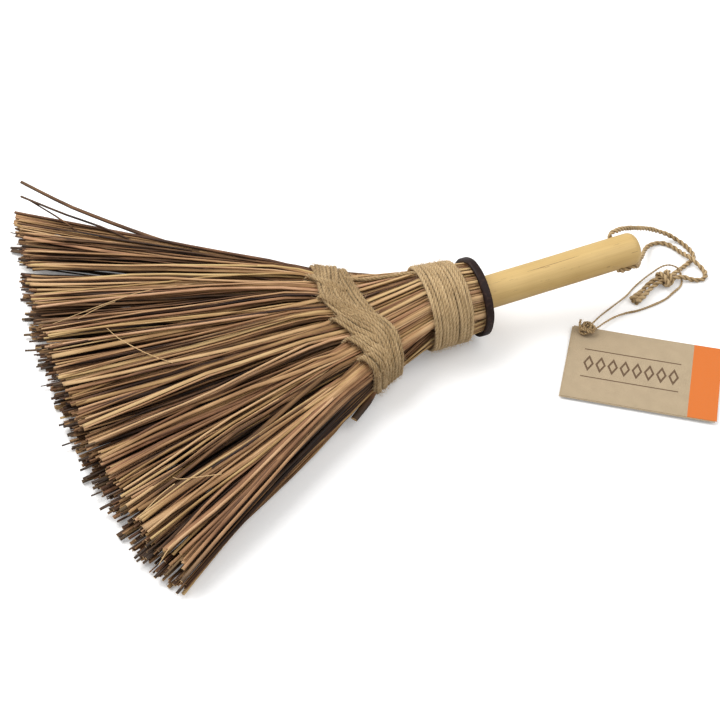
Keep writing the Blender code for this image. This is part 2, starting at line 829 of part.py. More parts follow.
def pressed_flat(obj):
    """The tube as a mesh whose points below the ground are pressed up to it."""
    graph = bpy.context.evaluated_depsgraph_get()
    mesh = bpy.data.meshes.new_from_object(obj.evaluated_get(graph))
    for vertex in mesh.vertices:
        vertex.co.z = max(0, vertex.co.z)
    name = obj.name
    curve = obj.data
    bpy.data.objects.remove(obj, do_unlink=True)
    bpy.data.curves.remove(curve)
    flat = bpy.data.objects.new(name, mesh)
    bpy.context.scene.collection.objects.link(flat)
    return flat


def report_gap(name, points, loop_points, diameter):
    gap = least_gap(points, loop_points, diameter)
    print(f"{name}: least gap between its turns {gap * 1000:.2f} mm")


def make_neck_winding():
    lift = RIB_HEIGHT + CLEARANCE + SAGITTA + NECK_CORD_DIAMETER / 2

    def back_at(turns, place):
        return NECK_CORD_START + NECK_CORD_PITCH * turns

    points = wound_points(NECK_CORD_LOOPS, lift, NECK_BACK, back_at)
    points = with_straight_ends(points, NECK_CORD_DIAMETER)
    report_gap("upper_binding", points, POINTS_A_LOOP, NECK_CORD_DIAMETER)
    return make_tube(
        "upper_binding", points, NECK_CORD_DIAMETER, 1, jute_material("upper_binding")
    )


def cross_cord_lift():
    return RIB_HEIGHT + CLEARANCE + LOWER_SAGITTA + CROSS_CORD_DIAMETER / 2


def cross_cord_slant(place):
    """How far the first lower winding runs toward the handle at a sideways share of -1 to 1."""
    return CROSS_CORD_NEAR_SHIFT * ((1 - place) / 2) ** 2


def make_cross_winding():
    """The first lower winding, which slants toward the handle on the near side."""

    def back_at(turns, place):
        return CROSS_CORD_START + CROSS_CORD_PITCH * turns - cross_cord_slant(place)

    points = wound_points(CROSS_CORD_LOOPS, cross_cord_lift(), WAIST_BACK, back_at)
    points = with_straight_ends(points, CROSS_CORD_DIAMETER)
    report_gap("cross_binding", points, POINTS_A_LOOP, CROSS_CORD_DIAMETER)
    tube = make_tube(
        "cross_binding", points, CROSS_CORD_DIAMETER, 1, jute_material("cross_binding")
    )
    return pressed_flat(tube)


def make_diagonal_winding():
    """The second lower winding, laid over the first from the fan side to the handle side."""
    lift = cross_cord_lift() + CROSS_CORD_DIAMETER + LAYER_GAP

    def back_at(turns, place):
        along = (place - DIAGONAL_MIDDLE_SHARE) / DIAGONAL_SPAN_SHARE
        swing = math.sin(math.pi / 2 * max(-1, along))
        return DIAGONAL_START + DIAGONAL_PITCH * turns + DIAGONAL_SWING * swing

    points = wound_points(DIAGONAL_LOOPS, lift, WAIST_BACK, back_at)
    points = with_straight_ends(points, CROSS_CORD_DIAMETER)
    report_gap("diagonal_binding", points, POINTS_A_LOOP, CROSS_CORD_DIAMETER)
    tube = make_tube(
        "diagonal_binding", points, CROSS_CORD_DIAMETER, 1, jute_material("diagonal_binding")
    )
    return pressed_flat(tube)


def make_stitch_row():
    """The cord that bulges round groups of sticks along the fan side of the windings."""
    stations = bundle_stations()
    lift = RIB_HEIGHT + CLEARANCE + CROSS_CORD_DIAMETER / 2
    rings = [lifted_outline(station, lift) for station in stations[-2:]]
    first, last = STITCH_SPAN_SHARES
    top_steps = BUNDLES_ACROSS * STICKS_ACROSS
    points = []
    for step in range(STITCH_POINTS):
        along = step / (STITCH_POINTS - 1)
        across_share = first + (last - first) * along
        index = top_steps * across_share
        bulge = abs(math.sin(math.pi * STITCH_COUNT * along))
        slant = cross_cord_slant(math.cos(math.pi * across_share))
        back = STITCH_BACK + STITCH_BULGE * bulge - slant
        share = (back - WAIST_BACK) / (ROOT_BACK - WAIST_BACK)
        points.append(between(rings[0], index) * (1 - share) + between(rings[1], index) * share)
    points = with_straight_ends(np.array(points), CROSS_CORD_DIAMETER)
    return make_tube("stitch_row", points, CROSS_CORD_DIAMETER, 1, jute_material("stitch_row"))


def smooth_route(route, step, diameter):
    """Points at even steps along a smooth curve through the route, kept off the ground."""
    knots = np.array(route, dtype=float)
    padded = np.vstack((2 * knots[0] - knots[1], knots, 2 * knots[-1] - knots[-2]))
    fine = []
    for number in range(1, len(padded) - 2):
        before, start, end, after = padded[number - 1 : number + 3]
        for share in np.linspace(0, 1, ROUTE_STEPS, endpoint=False):
            bent = 2 * before - 5 * start + 4 * end - after
            twist = -before + 3 * start - 3 * end + after
            curve = 2 * start + (end - before) * share + bent * share**2 + twist * share**3
            fine.append(curve / 2)
    fine.append(knots[-1])
    fine = np.array(fine)
    walked = np.concatenate(([0], np.cumsum(np.linalg.norm(np.diff(fine, axis=0), axis=1))))
    marks = np.linspace(0, walked[-1], max(2, round(walked[-1] / step)) + 1)
    points = np.column_stack([np.interp(marks, walked, fine[:, axis]) for axis in range(3)])
    points[:, 2] = np.maximum(points[:, 2], diameter / 2)
    return points, walked[-1]


def make_hang_cord():
    points, length = smooth_route(HANG_CORD_ROUTE, HANG_CORD_STEP, HANG_CORD_DIAMETER)
    print(f"hang_cord: {len(points)} points, {length * 1000:.0f} mm long")
    material = make_material("hang_cord", (0.47, 0.33, 0.19), 0.95)
    return make_tube("hang_cord", points, HANG_CORD_DIAMETER, 2, material)


def make_hang_knot():
    """Two turns round both strands, which lie side by side through them."""
    centre = np.array(HANG_KNOT_CENTRE)
    steps = HANG_KNOT_LOOPS * HANG_KNOT_STOPS
    points = []
    for step in range(steps + 1):
        turn = math.tau * step / HANG_KNOT_STOPS
        along = HANG_KNOT_PITCH * (step / HANG_KNOT_STOPS - HANG_KNOT_LOOPS / 2)
        sideways = HANG_KNOT_HALF_WIDTH * math.cos(turn)
        upward = HANG_KNOT_HALF_HEIGHT * math.sin(turn)
        points.append(centre + np.array((along, sideways, upward)))
    points = with_straight_ends(np.array(points), HANG_CORD_DIAMETER)
    report_gap("hang_knot", points, HANG_KNOT_STOPS, HANG_CORD_DIAMETER)
    material = make_material("hang_knot", (0.47, 0.33, 0.19), 0.95)
    return make_tube("hang_knot", points, HANG_CORD_DIAMETER, 2, material)


def make_tag_string():
    points, length = smooth_route(STRING_ROUTE, STRING_STEP, STRING_DIAMETER)
    print(f"tag_string: {len(points)} points, {length * 1000:.0f} mm long")
    material = make_material("tag_string", (0.5, 0.36, 0.22), 0.95)
    return make_tube("tag_string", points, STRING_DIAMETER, 2, material)


def tag_knot_route():
    """The coil on the card, then down the hole, under the card and back over its edge."""
    centre = np.array((*TAG_KNOT_PLACE, 0))
    up = np.array((0, 0, 1))
    out = np.array((-math.sin(TAG_HEADING), math.cos(TAG_HEADING), 0))
    back = np.array((-math.cos(TAG_HEADING), -math.sin(TAG_HEADING), 0))
    coil_top = TAG_KNOT_COIL_FOOT + TAG_KNOT_COIL_PITCH * TAG_KNOT_COIL_LOOPS
    top = TAG_HEIGHT + TAG_THICKNESS + CLEARANCE + STRING_DIAMETER / 2
    route = []
    for step in range(TAG_KNOT_COIL_LOOPS * TAG_KNOT_STOPS + 1):
        turn = math.tau * step / TAG_KNOT_STOPS
        height = coil_top - TAG_KNOT_COIL_PITCH * step / TAG_KNOT_STOPS
        round_it = back * math.cos(turn) - out * math.sin(turn)
        route.append(centre + round_it * TAG_KNOT_COIL_RADIUS + up * height)
    tail = route[0] + out * TAG_KNOT_TAIL + up * TAG_KNOT_TAIL_LIFT
    edge = TAG_HOLE_FROM_EDGE + TAG_KNOT_EDGE_REACH
    fold = edge - TAG_KNOT_FOLD
    route.insert(0, route[0] + (tail - route[0]) / 2)
    route.insert(0, tail)
    route.append(centre + up * top)
    route.append(centre + up * (TAG_HEIGHT + TAG_THICKNESS / 2))
    route.append(centre + out * STRING_DIAMETER / 2 + up * TAG_KNOT_UNDER)
    route.append(centre + out * TAG_HOLE_FROM_EDGE * TAG_KNOT_UNDER_SHARE + up * TAG_KNOT_UNDER)
    route.append(centre + out * fold + up * TAG_KNOT_UNDER)
    route.append(centre + out * edge + up * (TAG_HEIGHT + TAG_THICKNESS / 2))
    route.append(centre + out * fold + up * (top + CLEARANCE))
    reach = TAG_KNOT_COIL_RADIUS + STRING_DIAMETER / 2 + CLEARANCE
    route.append(centre + out * (reach + CLEARANCE) + up * (top + CLEARANCE))
    return route


def make_tag_knot():
    points, length = smooth_route(tag_knot_route(), TAG_KNOT_STEP, STRING_DIAMETER)
    print(f"tag_knot: {len(points)} points, {length * 1000:.0f} mm long")
    material = make_material("tag_knot", (0.5, 0.36, 0.22), 0.95)
    return make_tube("tag_knot", points, STRING_DIAMETER, 2, material)


def make_tag_card():
    """The card, whose origin is on the middle of its hole, with the hole cut through."""
    left = -TAG_HOLE_FROM_END
    right = TAG_LENGTH - TAG_HOLE_FROM_END
    high = TAG_HOLE_FROM_EDGE
    low = TAG_HOLE_FROM_EDGE - TAG_WIDTH
    corners = [(left, low), (right, low), (right, high), (left, high)]
    points = [(x, y, z) for z in (0, TAG_THICKNESS) for x, y in corners]
    faces = [(0, 1, 2, 3), (4, 5, 6, 7)]
    for step in range(4):
        after = (step + 1) % 4
        faces.append((step, after, after + 4, step + 4))
    card = mesh_object("tag_card", points, faces, make_material("tag_card", (0.5, 0.4, 0.29), 0.9))
    card.location = (*TAG_KNOT_PLACE, TAG_HEIGHT)
    card.rotation_euler = (0, 0, TAG_HEADING)
    radius = TAG_HOLE_DIAMETER / 2
    profile = [(-CUT_OVERRUN, radius), (CUT_OVERRUN, radius)]
    cutter = turned_mesh(
        "tag_hole_cutter", profile, TAG_HOLE_SIDES, make_material("cutter", (1, 1, 1), 1)
    )
    cutter.location = card.location
    cutter.rotation_euler = (0, math.pi / 2, 0)
    cutter.hide_render = True
    cutter.display_type = "WIRE"
    cut = card.modifiers.new("tag_hole", "BOOLEAN")
    cut.operation = "DIFFERENCE"
    cut.solver = "EXACT"
    cut.object = cutter
    return [card, cutter]


def adopt(parent, child):
    """Makes the child ride on the parent without moving it."""
    child.parent = parent
    child.matrix_parent_inverse = parent.matrix_world.inverted()


def stand_at_origin(pieces, carried):
    """Puts the middle of the broom's own pieces over the world origin, the cords left out."""
    bpy.context.view_layer.update()
    corners = []
    for piece in pieces:
        graph = bpy.context.evaluated_depsgraph_get()
        shape = piece.evaluated_get(graph)
        mesh = shape.to_mesh()
        flat = np.empty(len(mesh.vertices) * 3, np.float32)
        mesh.vertices.foreach_get("co", flat)
        world = np.array(shape.matrix_world)
        placed = flat.reshape(-1, 3) @ world[:3, :3].T + world[:3, 3]
        corners += [placed.min(axis=0), placed.max(axis=0)]
        shape.to_mesh_clear()
    low = np.min(corners, axis=0)
    high = np.max(corners, axis=0)
    broom = bpy.data.objects.new("broom", None)
    bpy.context.scene.collection.objects.link(broom)
    swivel = bpy.data.objects.new("tag_swivel_axis", None)
    bpy.context.scene.collection.objects.link(swivel)
    swivel.location = (*TAG_KNOT_PLACE, TAG_HEIGHT)
    bpy.context.view_layer.update()
    for obj in carried:
        on_tag = obj.name in ("tag_card", "tag_hole_cutter")
        adopt(swivel if on_tag else broom, obj)
    adopt(broom, swivel)
    broom.location = (-(low[0] + high[0]) / 2, -(low[1] + high[1]) / 2, -low[2])
    bpy.context.view_layer.update()
    size = (high - low) * 1000
    print(f"broom without its cords: {size[0]:.1f} x {size[1]:.1f} x {size[2]:.1f} mm")
    print("ring foot in the world (m):", [round(value, 5) for value in broom.location])
    print("tag swivel in the world (m):", [round(v, 5) for v in swivel.matrix_world.translation])


def main():
    clear_scene()
    handle, hole_cutter = make_handle()
    solid = [handle, make_collar_ring()]
    solid += make_bundles()
    solid += [make_neck_winding(), make_cross_winding(), make_diagonal_winding()]
    solid.append(make_stitch_row())
    card, card_cutter = make_tag_card()
    cords = [make_hang_cord(), make_hang_knot(), make_tag_string(), make_tag_knot(), card]
    stand_at_origin(solid, solid + cords + [hole_cutter, card_cutter])


if __name__ == "__main__":
    main()
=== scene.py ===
"""Looks of a hand broom of palm leaf ribs, with its jute windings, hanging cord and card tag.

Lengths are in metres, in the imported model's frame. Places on the broom are written in the
broom's own frame, whose origin is the foot of the collar ring and whose +X runs to the handle's
end. BroomForm.world carries them over. Routes are written in tenths of a millimetre.
"""

import logging
import math
import random
from dataclasses import dataclass, field
from enum import Enum
from typing import Any, Callable

import bmesh
import bpy
import numpy as np
from mathutils import Matrix, Vector


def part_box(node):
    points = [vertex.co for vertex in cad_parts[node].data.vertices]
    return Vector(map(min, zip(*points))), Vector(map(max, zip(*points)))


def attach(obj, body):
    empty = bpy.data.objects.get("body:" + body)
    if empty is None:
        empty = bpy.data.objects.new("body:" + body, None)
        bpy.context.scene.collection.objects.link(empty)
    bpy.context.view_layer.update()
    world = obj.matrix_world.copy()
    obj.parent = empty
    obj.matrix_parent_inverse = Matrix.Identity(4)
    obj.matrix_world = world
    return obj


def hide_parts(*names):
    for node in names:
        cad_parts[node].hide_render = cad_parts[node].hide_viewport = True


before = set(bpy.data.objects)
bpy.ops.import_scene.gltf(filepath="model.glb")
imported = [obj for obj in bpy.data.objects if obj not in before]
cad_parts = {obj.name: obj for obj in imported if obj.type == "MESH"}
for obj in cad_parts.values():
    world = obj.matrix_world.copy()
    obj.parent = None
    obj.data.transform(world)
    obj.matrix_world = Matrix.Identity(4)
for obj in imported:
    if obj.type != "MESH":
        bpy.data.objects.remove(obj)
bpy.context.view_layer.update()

Piece = bpy.types.Object
Mesh = bpy.types.Mesh
Material = bpy.types.Material
Triple = tuple[float, float, float]
Stops = tuple[tuple[float, Triple], ...]

LOG = logging.getLogger("broom")
BROOM_BODY = "broom"
TAG_BODY = "tag"
FIBRE = "fibre"
TINT = "tint"
ALONG = "along"
CREST = "crest"
UP = np.array((0.0, 0.0, 1.0))
TENTHS_PER_METRE = 10000


class Layer(Enum):
    """The half of the fan that a bundle lies in."""

    UPPER = 1
    LOWER = -1


class Field:
    """A node's output that can be reckoned with: each operator adds a Math node."""

    def __init__(self, board: "Board", socket: bpy.types.NodeSocket) -> None:
        """Keeps the output and the board that its nodes go to."""
        self.board, self.socket = board, socket

    def __add__(self, other: Any) -> "Field":
        """The sum."""
        return self.board.math("ADD", self, other)

    def __sub__(self, other: Any) -> "Field":
        """The difference."""
        return self.board.math("SUBTRACT", self, other)

    def __mul__(self, other: Any) -> "Field":
        """The product."""
        return self.board.math("MULTIPLY", self, other)

    def __truediv__(self, other: Any) -> "Field":
        """The quotient."""
        return self.board.math("DIVIDE", self, other)

    def __gt__(self, other: Any) -> "Field":
        """1 where it is greater, otherwise 0."""
        return self.board.math("GREATER_THAN", self, other)

    def __lt__(self, other: Any) -> "Field":
        """1 where it is less, otherwise 0."""
        return self.board.math("LESS_THAN", self, other)

    def __abs__(self) -> "Field":
        """Its distance from 0."""
        return self.board.math("ABSOLUTE", self)


class Board:
    """Adds nodes to one node tree and wires them with short calls."""

    def __init__(self, tree: bpy.types.NodeTree) -> None:
        """Keeps the tree that the nodes go into."""
        self.tree = tree

    def add(
        self, kind: str, inputs: dict[int | str, Any] | None = None, **settings: Any
    ) -> bpy.types.Node:
        """Adds a node.

        Args:
            kind: The node's type name.
            inputs: What feeds each input, by its name or number: a field or a plain value.
            settings: The node's own properties.

        Returns:
            The new node.
        """
        node = self.tree.nodes.new(kind)
        for name, value in settings.items():
            setattr(node, name, value)
        self.feed(node, inputs or {})
        return node

    def feed(self, node: bpy.types.Node, inputs: dict[int | str, Any]) -> None:
        """Links fields to a node's inputs, or sets their own values.

        Args:
            node: The node.
            inputs: The field or the plain value of each input.
        """
        for key, value in inputs.items():
            if isinstance(value, Field):
                self.tree.links.new(value.socket, node.inputs[key])
            else:
                node.inputs[key].default_value = value

    def one(self, kind: str, inputs: dict[int | str, Any] | None = None, **settings: Any) -> Field:
        """The first output of a new node."""
        return Field(self, self.add(kind, inputs, **settings).outputs[0])

    def given(self) -> dict[str, Field]:
        """The tree's own inputs by name."""
        outputs = self.add("NodeGroupInput").outputs
        return {socket.name: Field(self, socket) for socket in outputs}

    def math(self, operation: str, *values: Any) -> Field:
        """The result of a Math node."""
        return self.one("ShaderNodeMath", dict(enumerate(values)), operation=operation)

    def vector(self, operation: str, *values: Any) -> Field:
        """The vector that a Vector Math node gives."""
        return self.one("ShaderNodeVectorMath", dict(enumerate(values)), operation=operation)

    def measure(self, operation: str, *values: Any) -> Field:
        """The number that a Vector Math node gives."""
        node = self.add("ShaderNodeVectorMath", dict(enumerate(values)), operation=operation)
        return Field(self, node.outputs["Value"])

    def scaled(self, vector: Any, scale: Any) -> Field:
        """A vector times a number."""
        return self.one("ShaderNodeVectorMath", {0: vector, "Scale": scale}, operation="SCALE")

    def combined(self, x: Any, y: Any, z: Any) -> Field:
        """A vector of three numbers."""
        return self.one("ShaderNodeCombineXYZ", {0: x, 1: y, 2: z})

    def parts(self, vector: Field) -> list[Field]:
        """A vector's three numbers."""
        outputs = self.add("ShaderNodeSeparateXYZ", {0: vector}).outputs
        return [Field(self, part) for part in outputs]

    def ranged(
        self, value: Field, low: float, high: float, start: float = 0.0, end: float = 1.0
    ) -> Field:
        """A value carried from the span between low and high to the one from start to end."""
        return self.one("ShaderNodeMapRange", {0: value, 1: low, 2: high, 3: start, 4: end})

    def noise(self, place: Any, scale: Any, detail: float, roughness: float = 0.5) -> Field:
        """The number of a Noise Texture."""
        inputs = {"Vector": place, "Scale": scale, "Detail": detail, "Roughness": roughness}
        return self.one("ShaderNodeTexNoise", inputs)


class Paint(Board):
    """The board of a new material, which is made round its Principled BSDF node."""

    def __init__(self, name: str) -> None:
        """Makes the material."""
        self.material = bpy.data.materials.new(name)
        self.material.use_nodes = True
        super().__init__(self.material.node_tree)

    def attribute(self, name: str, slot: str = "Fac") -> Field:
        """An attribute of the piece, as a number or a vector."""
        return Field(self, self.add("ShaderNodeAttribute", attribute_name=name).outputs[slot])

    def coordinates(self, kind: str) -> Field:
        """The piece's own coordinates of one kind."""
        return Field(self, self.add("ShaderNodeTexCoord").outputs[kind])

    def ramp(self, factor: Field, stops: Stops) -> Field:
        """A colour ramp.

        Args:
            factor: What picks the place on the ramp.
            stops: The place and colour of each stop.

        Returns:
            The ramp's colour.
        """
        node = self.add("ShaderNodeValToRGB", {0: factor})
        elements = node.color_ramp.elements
        while len(elements) < len(stops):
            elements.new(1.0)
        for element, (place, colour) in zip(elements, stops):
            element.position = place
            element.color = (*colour, 1.0)
        return Field(self, node.outputs["Color"])

    def mixed(self, factor: Any, first: Any, second: Any, blend: str = "MIX") -> Field:
        """Two colours mixed by a factor.

        Args:
            factor: How much of the second colour there is.
            first: A field or a colour.
            second: A field or a colour.
            blend: How they are mixed.

        Returns:
            The mixed colour.
        """
        inputs = {"Factor": factor}
        for slot, colour in ((6, first), (7, second)):
            inputs[slot] = colour if isinstance(colour, Field) else (*colour, 1.0)
        node = self.add("ShaderNodeMix", inputs, data_type="RGBA", blend_type=blend)
        return Field(self, node.outputs[2])

    def done(
        self,
        colour: Field,
        rough: Field | float,
        shine: float,
        bump: tuple[Field, float, float] | None = None,
        more: dict[str, Any] | None = None,
    ) -> Material:
        """Feeds the Principled BSDF.

        Args:
            colour: The base colour.
            rough: The roughness.
            shine: The specular level.
            bump: A height, the real distance that it is a share of, and the bump's strength.
            more: Other inputs by name.

        Returns:
            The material.
        """
        inputs = {"Base Color": colour, "Roughness": rough, "Specular IOR Level": shine}
        if bump:
            values = dict(zip(("Height", "Distance", "Strength"), bump))
            inputs["Normal"] = self.one("ShaderNodeBump", values)
        self.feed(self.tree.nodes["Principled BSDF"], {**inputs, **(more or {})})
        return self.material


@dataclass
class Strand:
    """One line that a tree sweeps into a stick or a cord, with the values it carries."""

    points: np.ndarray
    values: dict[str, Any] = field(default_factory=dict)


def strand_mesh(name: str, strands: list[Strand]) -> Mesh:
    """A mesh of plain edges along the strands, with their values as point attributes.

    Args:
        name: The mesh's name.
        strands: The lines, which all carry the same values.

    Returns:
        The mesh.
    """
    points = np.concatenate([strand.points for strand in strands])
    edges = []
    start = 0
    for strand in strands:
        count = len(strand.points)
        edges += [(start + step, start + step + 1) for step in range(count - 1)]
        start += count
    mesh = bpy.data.meshes.new(name)
    mesh.from_pydata(points.tolist(), edges, [])
    for label, sample in strands[0].values.items():
        wide = np.ndim(sample) > 1
        columns = []
        for strand in strands:
            shape = (len(strand.points), 3) if wide else (len(strand.points),)
            columns.append(np.broadcast_to(strand.values[label], shape))
        kind, slot = ("FLOAT_VECTOR", "vector") if wide else ("FLOAT", "value")
        stored = mesh.attributes.new(label, kind, "POINT")
        stored.data.foreach_set(slot, np.concatenate(columns).astype(np.float32).ravel())
    return mesh


def linked(name: str, data: Any) -> Piece:
    """A new object in the scene."""
    piece = bpy.data.objects.new(name, data)
    bpy.context.scene.collection.objects.link(piece)
    return piece


def settled(name: str, mesh: Mesh) -> Piece:
    """Links a finished mesh as an object, with its faces turned outward.

    Args:
        name: The object's name.
        mesh: The mesh, in world places.

    Returns:
        The object, at the origin.
    """
    shape = bmesh.new()
    shape.from_mesh(mesh)
    bmesh.ops.recalc_face_normals(shape, faces=shape.faces)
    shape.to_mesh(mesh)
    shape.free()
    return linked(name, mesh)


def evaluated(carrier: Piece) -> Mesh:
    """The mesh that an object's modifiers make. The object itself goes.

    Args:
        carrier: The object.

    Returns:
        The mesh.
    """
    graph = bpy.context.evaluated_depsgraph_get()
    mesh = bpy.data.meshes.new_from_object(carrier.evaluated_get(graph), depsgraph=graph)
    bpy.data.objects.remove(carrier)
    return mesh


def bored(blank: Piece, radius: float, depth: float, sides: int, place: Matrix) -> Mesh:
    """Cuts a round hole through an object, which then goes.

    Args:
        blank: The object.
        radius: The hole's radius.
        depth: The length of the cutting cylinder.
        sides: How many sides the cylinder has.
        place: Where the cylinder stands.

    Returns:
        The mesh with the hole.
    """
    shape = bmesh.new()
    bmesh.ops.create_cone(
        shape, cap_ends=True, segments=sides, radius1=radius, radius2=radius, depth=depth
    )
    mesh = bpy.data.meshes.new("cutter")
    shape.to_mesh(mesh)
    shape.free()
    mesh.transform(place)
    cutter = linked("cutter", mesh)
    cut = blank.modifiers.new("hole", "BOOLEAN")
    cut.operation, cut.solver, cut.object = "DIFFERENCE", "EXACT", cutter
    made = evaluated(blank)
    bpy.data.objects.remove(cutter)
    return made


def dressed(name: str, mesh: Mesh, material: Material, sharp: float = math.pi) -> Piece:
    """A smooth piece with one material.

    Args:
        name: The piece's name.
        mesh: The mesh, in world places.
        material: Its finish.
        sharp: The angle from which an edge is sharp.

    Returns:
        The piece.
    """
    piece = settled(name, mesh)
    mesh.materials.clear()
    mesh.materials.append(material)
    mesh.shade_smooth()
    if sharp < math.pi:
        mesh.set_sharp_from_angle(angle=sharp)
    return piece


def keep(piece: Piece, body: str, slot: str, *nodes: str) -> Piece:
    """Hands a finished piece to its body and hides the nodes that it stands for.

    Args:
        piece: The piece.
        body: The body that it rides on.
        slot: Not used.
        nodes: The nodes that it replaces.

    Returns:
        The same piece.
    """
    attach(piece, body)
    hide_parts(*nodes)
    LOG.info("%s: %d faces", piece.name, len(piece.data.polygons))
    return piece


def waypoints(*tenths: int) -> tuple[Triple, ...]:
    """A route's points, from their places in tenths of a millimetre."""
    metres = [place / TENTHS_PER_METRE for place in tenths]
    return tuple(zip(metres[::3], metres[1::3], metres[2::3]))


def run_along(line: np.ndarray) -> np.ndarray:
    """How far along a line each of its points lies."""
    return np.concatenate(([0.0], np.cumsum(np.linalg.norm(np.diff(line, axis=0), axis=1))))


def smooth_line(points: Any, count: int) -> np.ndarray:
    """Even points on a smooth curve through a route.

    Args:
        points: The route's points.
        count: How many points are wanted.

    Returns:
        The points.
    """
    points = np.array(points)
    padded = np.vstack((2 * points[0] - points[1], points, 2 * points[-1] - points[-2]))
    fine = []
    for number in range(1, len(padded) - 2):
        before, start, end, after = padded[number - 1 : number + 3]
        for share in np.linspace(0, 1, 12, endpoint=False):
            bent = 2 * before - 5 * start + 4 * end - after
            twist = -before + 3 * start - 3 * end + after
            curve = 2 * start + (end - before) * share + bent * share**2 + twist * share**3
            fine.append(curve / 2)
    fine = np.array([*fine, points[-1]])
    run = run_along(fine)
    marks = np.linspace(0, run[-1], count)
    return np.column_stack([np.interp(marks, run, fine[:, axis]) for axis in range(3)])


def raised(line: np.ndarray, lowest: float) -> np.ndarray:
    """The same line, with no point below a height."""
    line[:, 2] = np.maximum(line[:, 2], lowest)
    return line


class GrainGroup:
    """The streaks and blotches along a fibre, shared by sticks, jute and wood."""

    def __init__(self) -> None:
        """Builds the node group once."""
        self.tree = bpy.data.node_groups.new("fibre_streaks", "ShaderNodeTree")
        face = self.tree.interface
        face.new_socket("Place", in_out="INPUT", socket_type="NodeSocketVector")
        for label in ("Across", "Lengthwise", "Blotch"):
            face.new_socket(label, in_out="INPUT", socket_type="NodeSocketFloat")
        for label in ("Streaks", "Blotches"):
            face.new_socket(label, in_out="OUTPUT", socket_type="NodeSocketFloat")
        board = Board(self.tree)
        given = board.given()
        scale = board.combined(given["Across"], given["Across"], given["Lengthwise"])
        streaks = board.noise(board.vector("MULTIPLY", given["Place"], scale), 1.0, 3.0, 0.65)
        blotches = board.noise(given["Place"], given["Blotch"], 2.0)
        board.add("NodeGroupOutput", {"Streaks": streaks, "Blotches": blotches})

    def place(self, paint: Paint, scales: Triple) -> tuple[Field, Field]:
        """Puts the group into a material.

        Args:
            paint: The material's board.
            scales: Streaks to a metre across the fibre and along it, and blotches to a metre.

        Returns:
            The streaks and the blotches, each from 0 to 1.
        """
        inputs = {"Place": paint.attribute(FIBRE, "Vector")}
        inputs.update(zip(("Across", "Lengthwise", "Blotch"), scales))
        node = paint.add("ShaderNodeGroup", node_tree=self.tree)
        paint.feed(node, inputs)
        return Field(paint, node.outputs["Streaks"]), Field(paint, node.outputs["Blotches"])


@dataclass(frozen=True)
class RibFinish:
    """Dry leaf rib: brown to tan from stick to stick, streaked along, dark at the cut ends partly
    from the wood and partly as painted shade, with painted light and highlights.
    """

    stops: Stops = (
        (0.0, (0.012, 0.0050, 0.0026)),
        (0.25, (0.074, 0.033, 0.0140)),
        (0.5, (0.222, 0.114, 0.052)),
        (0.75, (0.400, 0.240, 0.118)),
        (1.0, (0.575, 0.392, 0.222)),
    )
    scales: Triple = (2600.0, 22.0, 38.0)
    streak_depth: float = 0.50
    blotch_depth: float = 0.34
    # painted highlight along each stick's top, painted shade along its underside
    crest_highlight_depth: float = 0.16
    # painted light that lifts the sticks near the ring out of the shade of the ring and the neck
    # winding
    butt_span: tuple[float, float] = (0.05, 0.32)
    butt_painted_light: float = 0.37
    # painted light that lifts the last tenth of each stick out of the shade among the tips
    tip_span: tuple[float, float] = (0.90, 1.0)
    tip_painted_light: float = 0.26
    olive: Triple = (1.0, 1.03, 0.80)
    purple: Triple = (1.03, 0.91, 0.93)
    # dark ends: partly the cut wood's own dark colour, partly painted shade
    tip_colour: Triple = (0.046, 0.029, 0.018)
    cut_colour: Triple = (0.860, 0.570, 0.270)
    end_patch_depth: float = 0.8
    end_least: float = 0.45
    cut_least: float = 0.1
    rough: tuple[float, float] = (0.46, 0.78)
    shine: float = 0.30
    bump: tuple[float, float] = (0.00035, 0.55)

    def build(self, grain: GrainGroup) -> Material:
        """Makes the material.

        Args:
            grain: The shared streaks.

        Returns:
            The material.
        """
        paint = Paint("palm_rib")
        streaks, blotches = grain.place(paint, self.scales)
        along, hue = paint.attribute(ALONG), paint.attribute("hue")
        uneven = (streaks - 0.5) * (self.streak_depth * 2)
        uneven = uneven + (blotches - 0.5) * (self.blotch_depth * 2)
        # Painted light near the ring and at the tips, and a painted highlight along each stick's
        # top.
        butt = paint.ranged(along, *self.butt_span, self.butt_painted_light, 0.0)
        tone = paint.attribute(TINT) + uneven + (paint.attribute(CREST) * self.crest_highlight_depth + butt)
        tone = tone + paint.ranged(along, *self.tip_span, 0.0, self.tip_painted_light)
        cast = paint.mixed(hue, self.olive, self.purple)
        colour = paint.mixed(1.0, paint.ramp(tone, self.stops), cast, "MULTIPLY")
        # Dark ends, partly the wood's own colour and partly painted shade.
        dark = paint.attribute("end") * (blotches * self.end_patch_depth + self.end_least)
        colour = paint.mixed(dark, colour, self.tip_colour)
        cut = paint.attribute("cut") * (hue + self.cut_least)
        colour = paint.mixed(cut, colour, self.cut_colour)
        rough = paint.ranged(streaks, 0.0, 1.0, *self.rough)
        return paint.done(colour, rough, self.shine, (streaks, *self.bump))


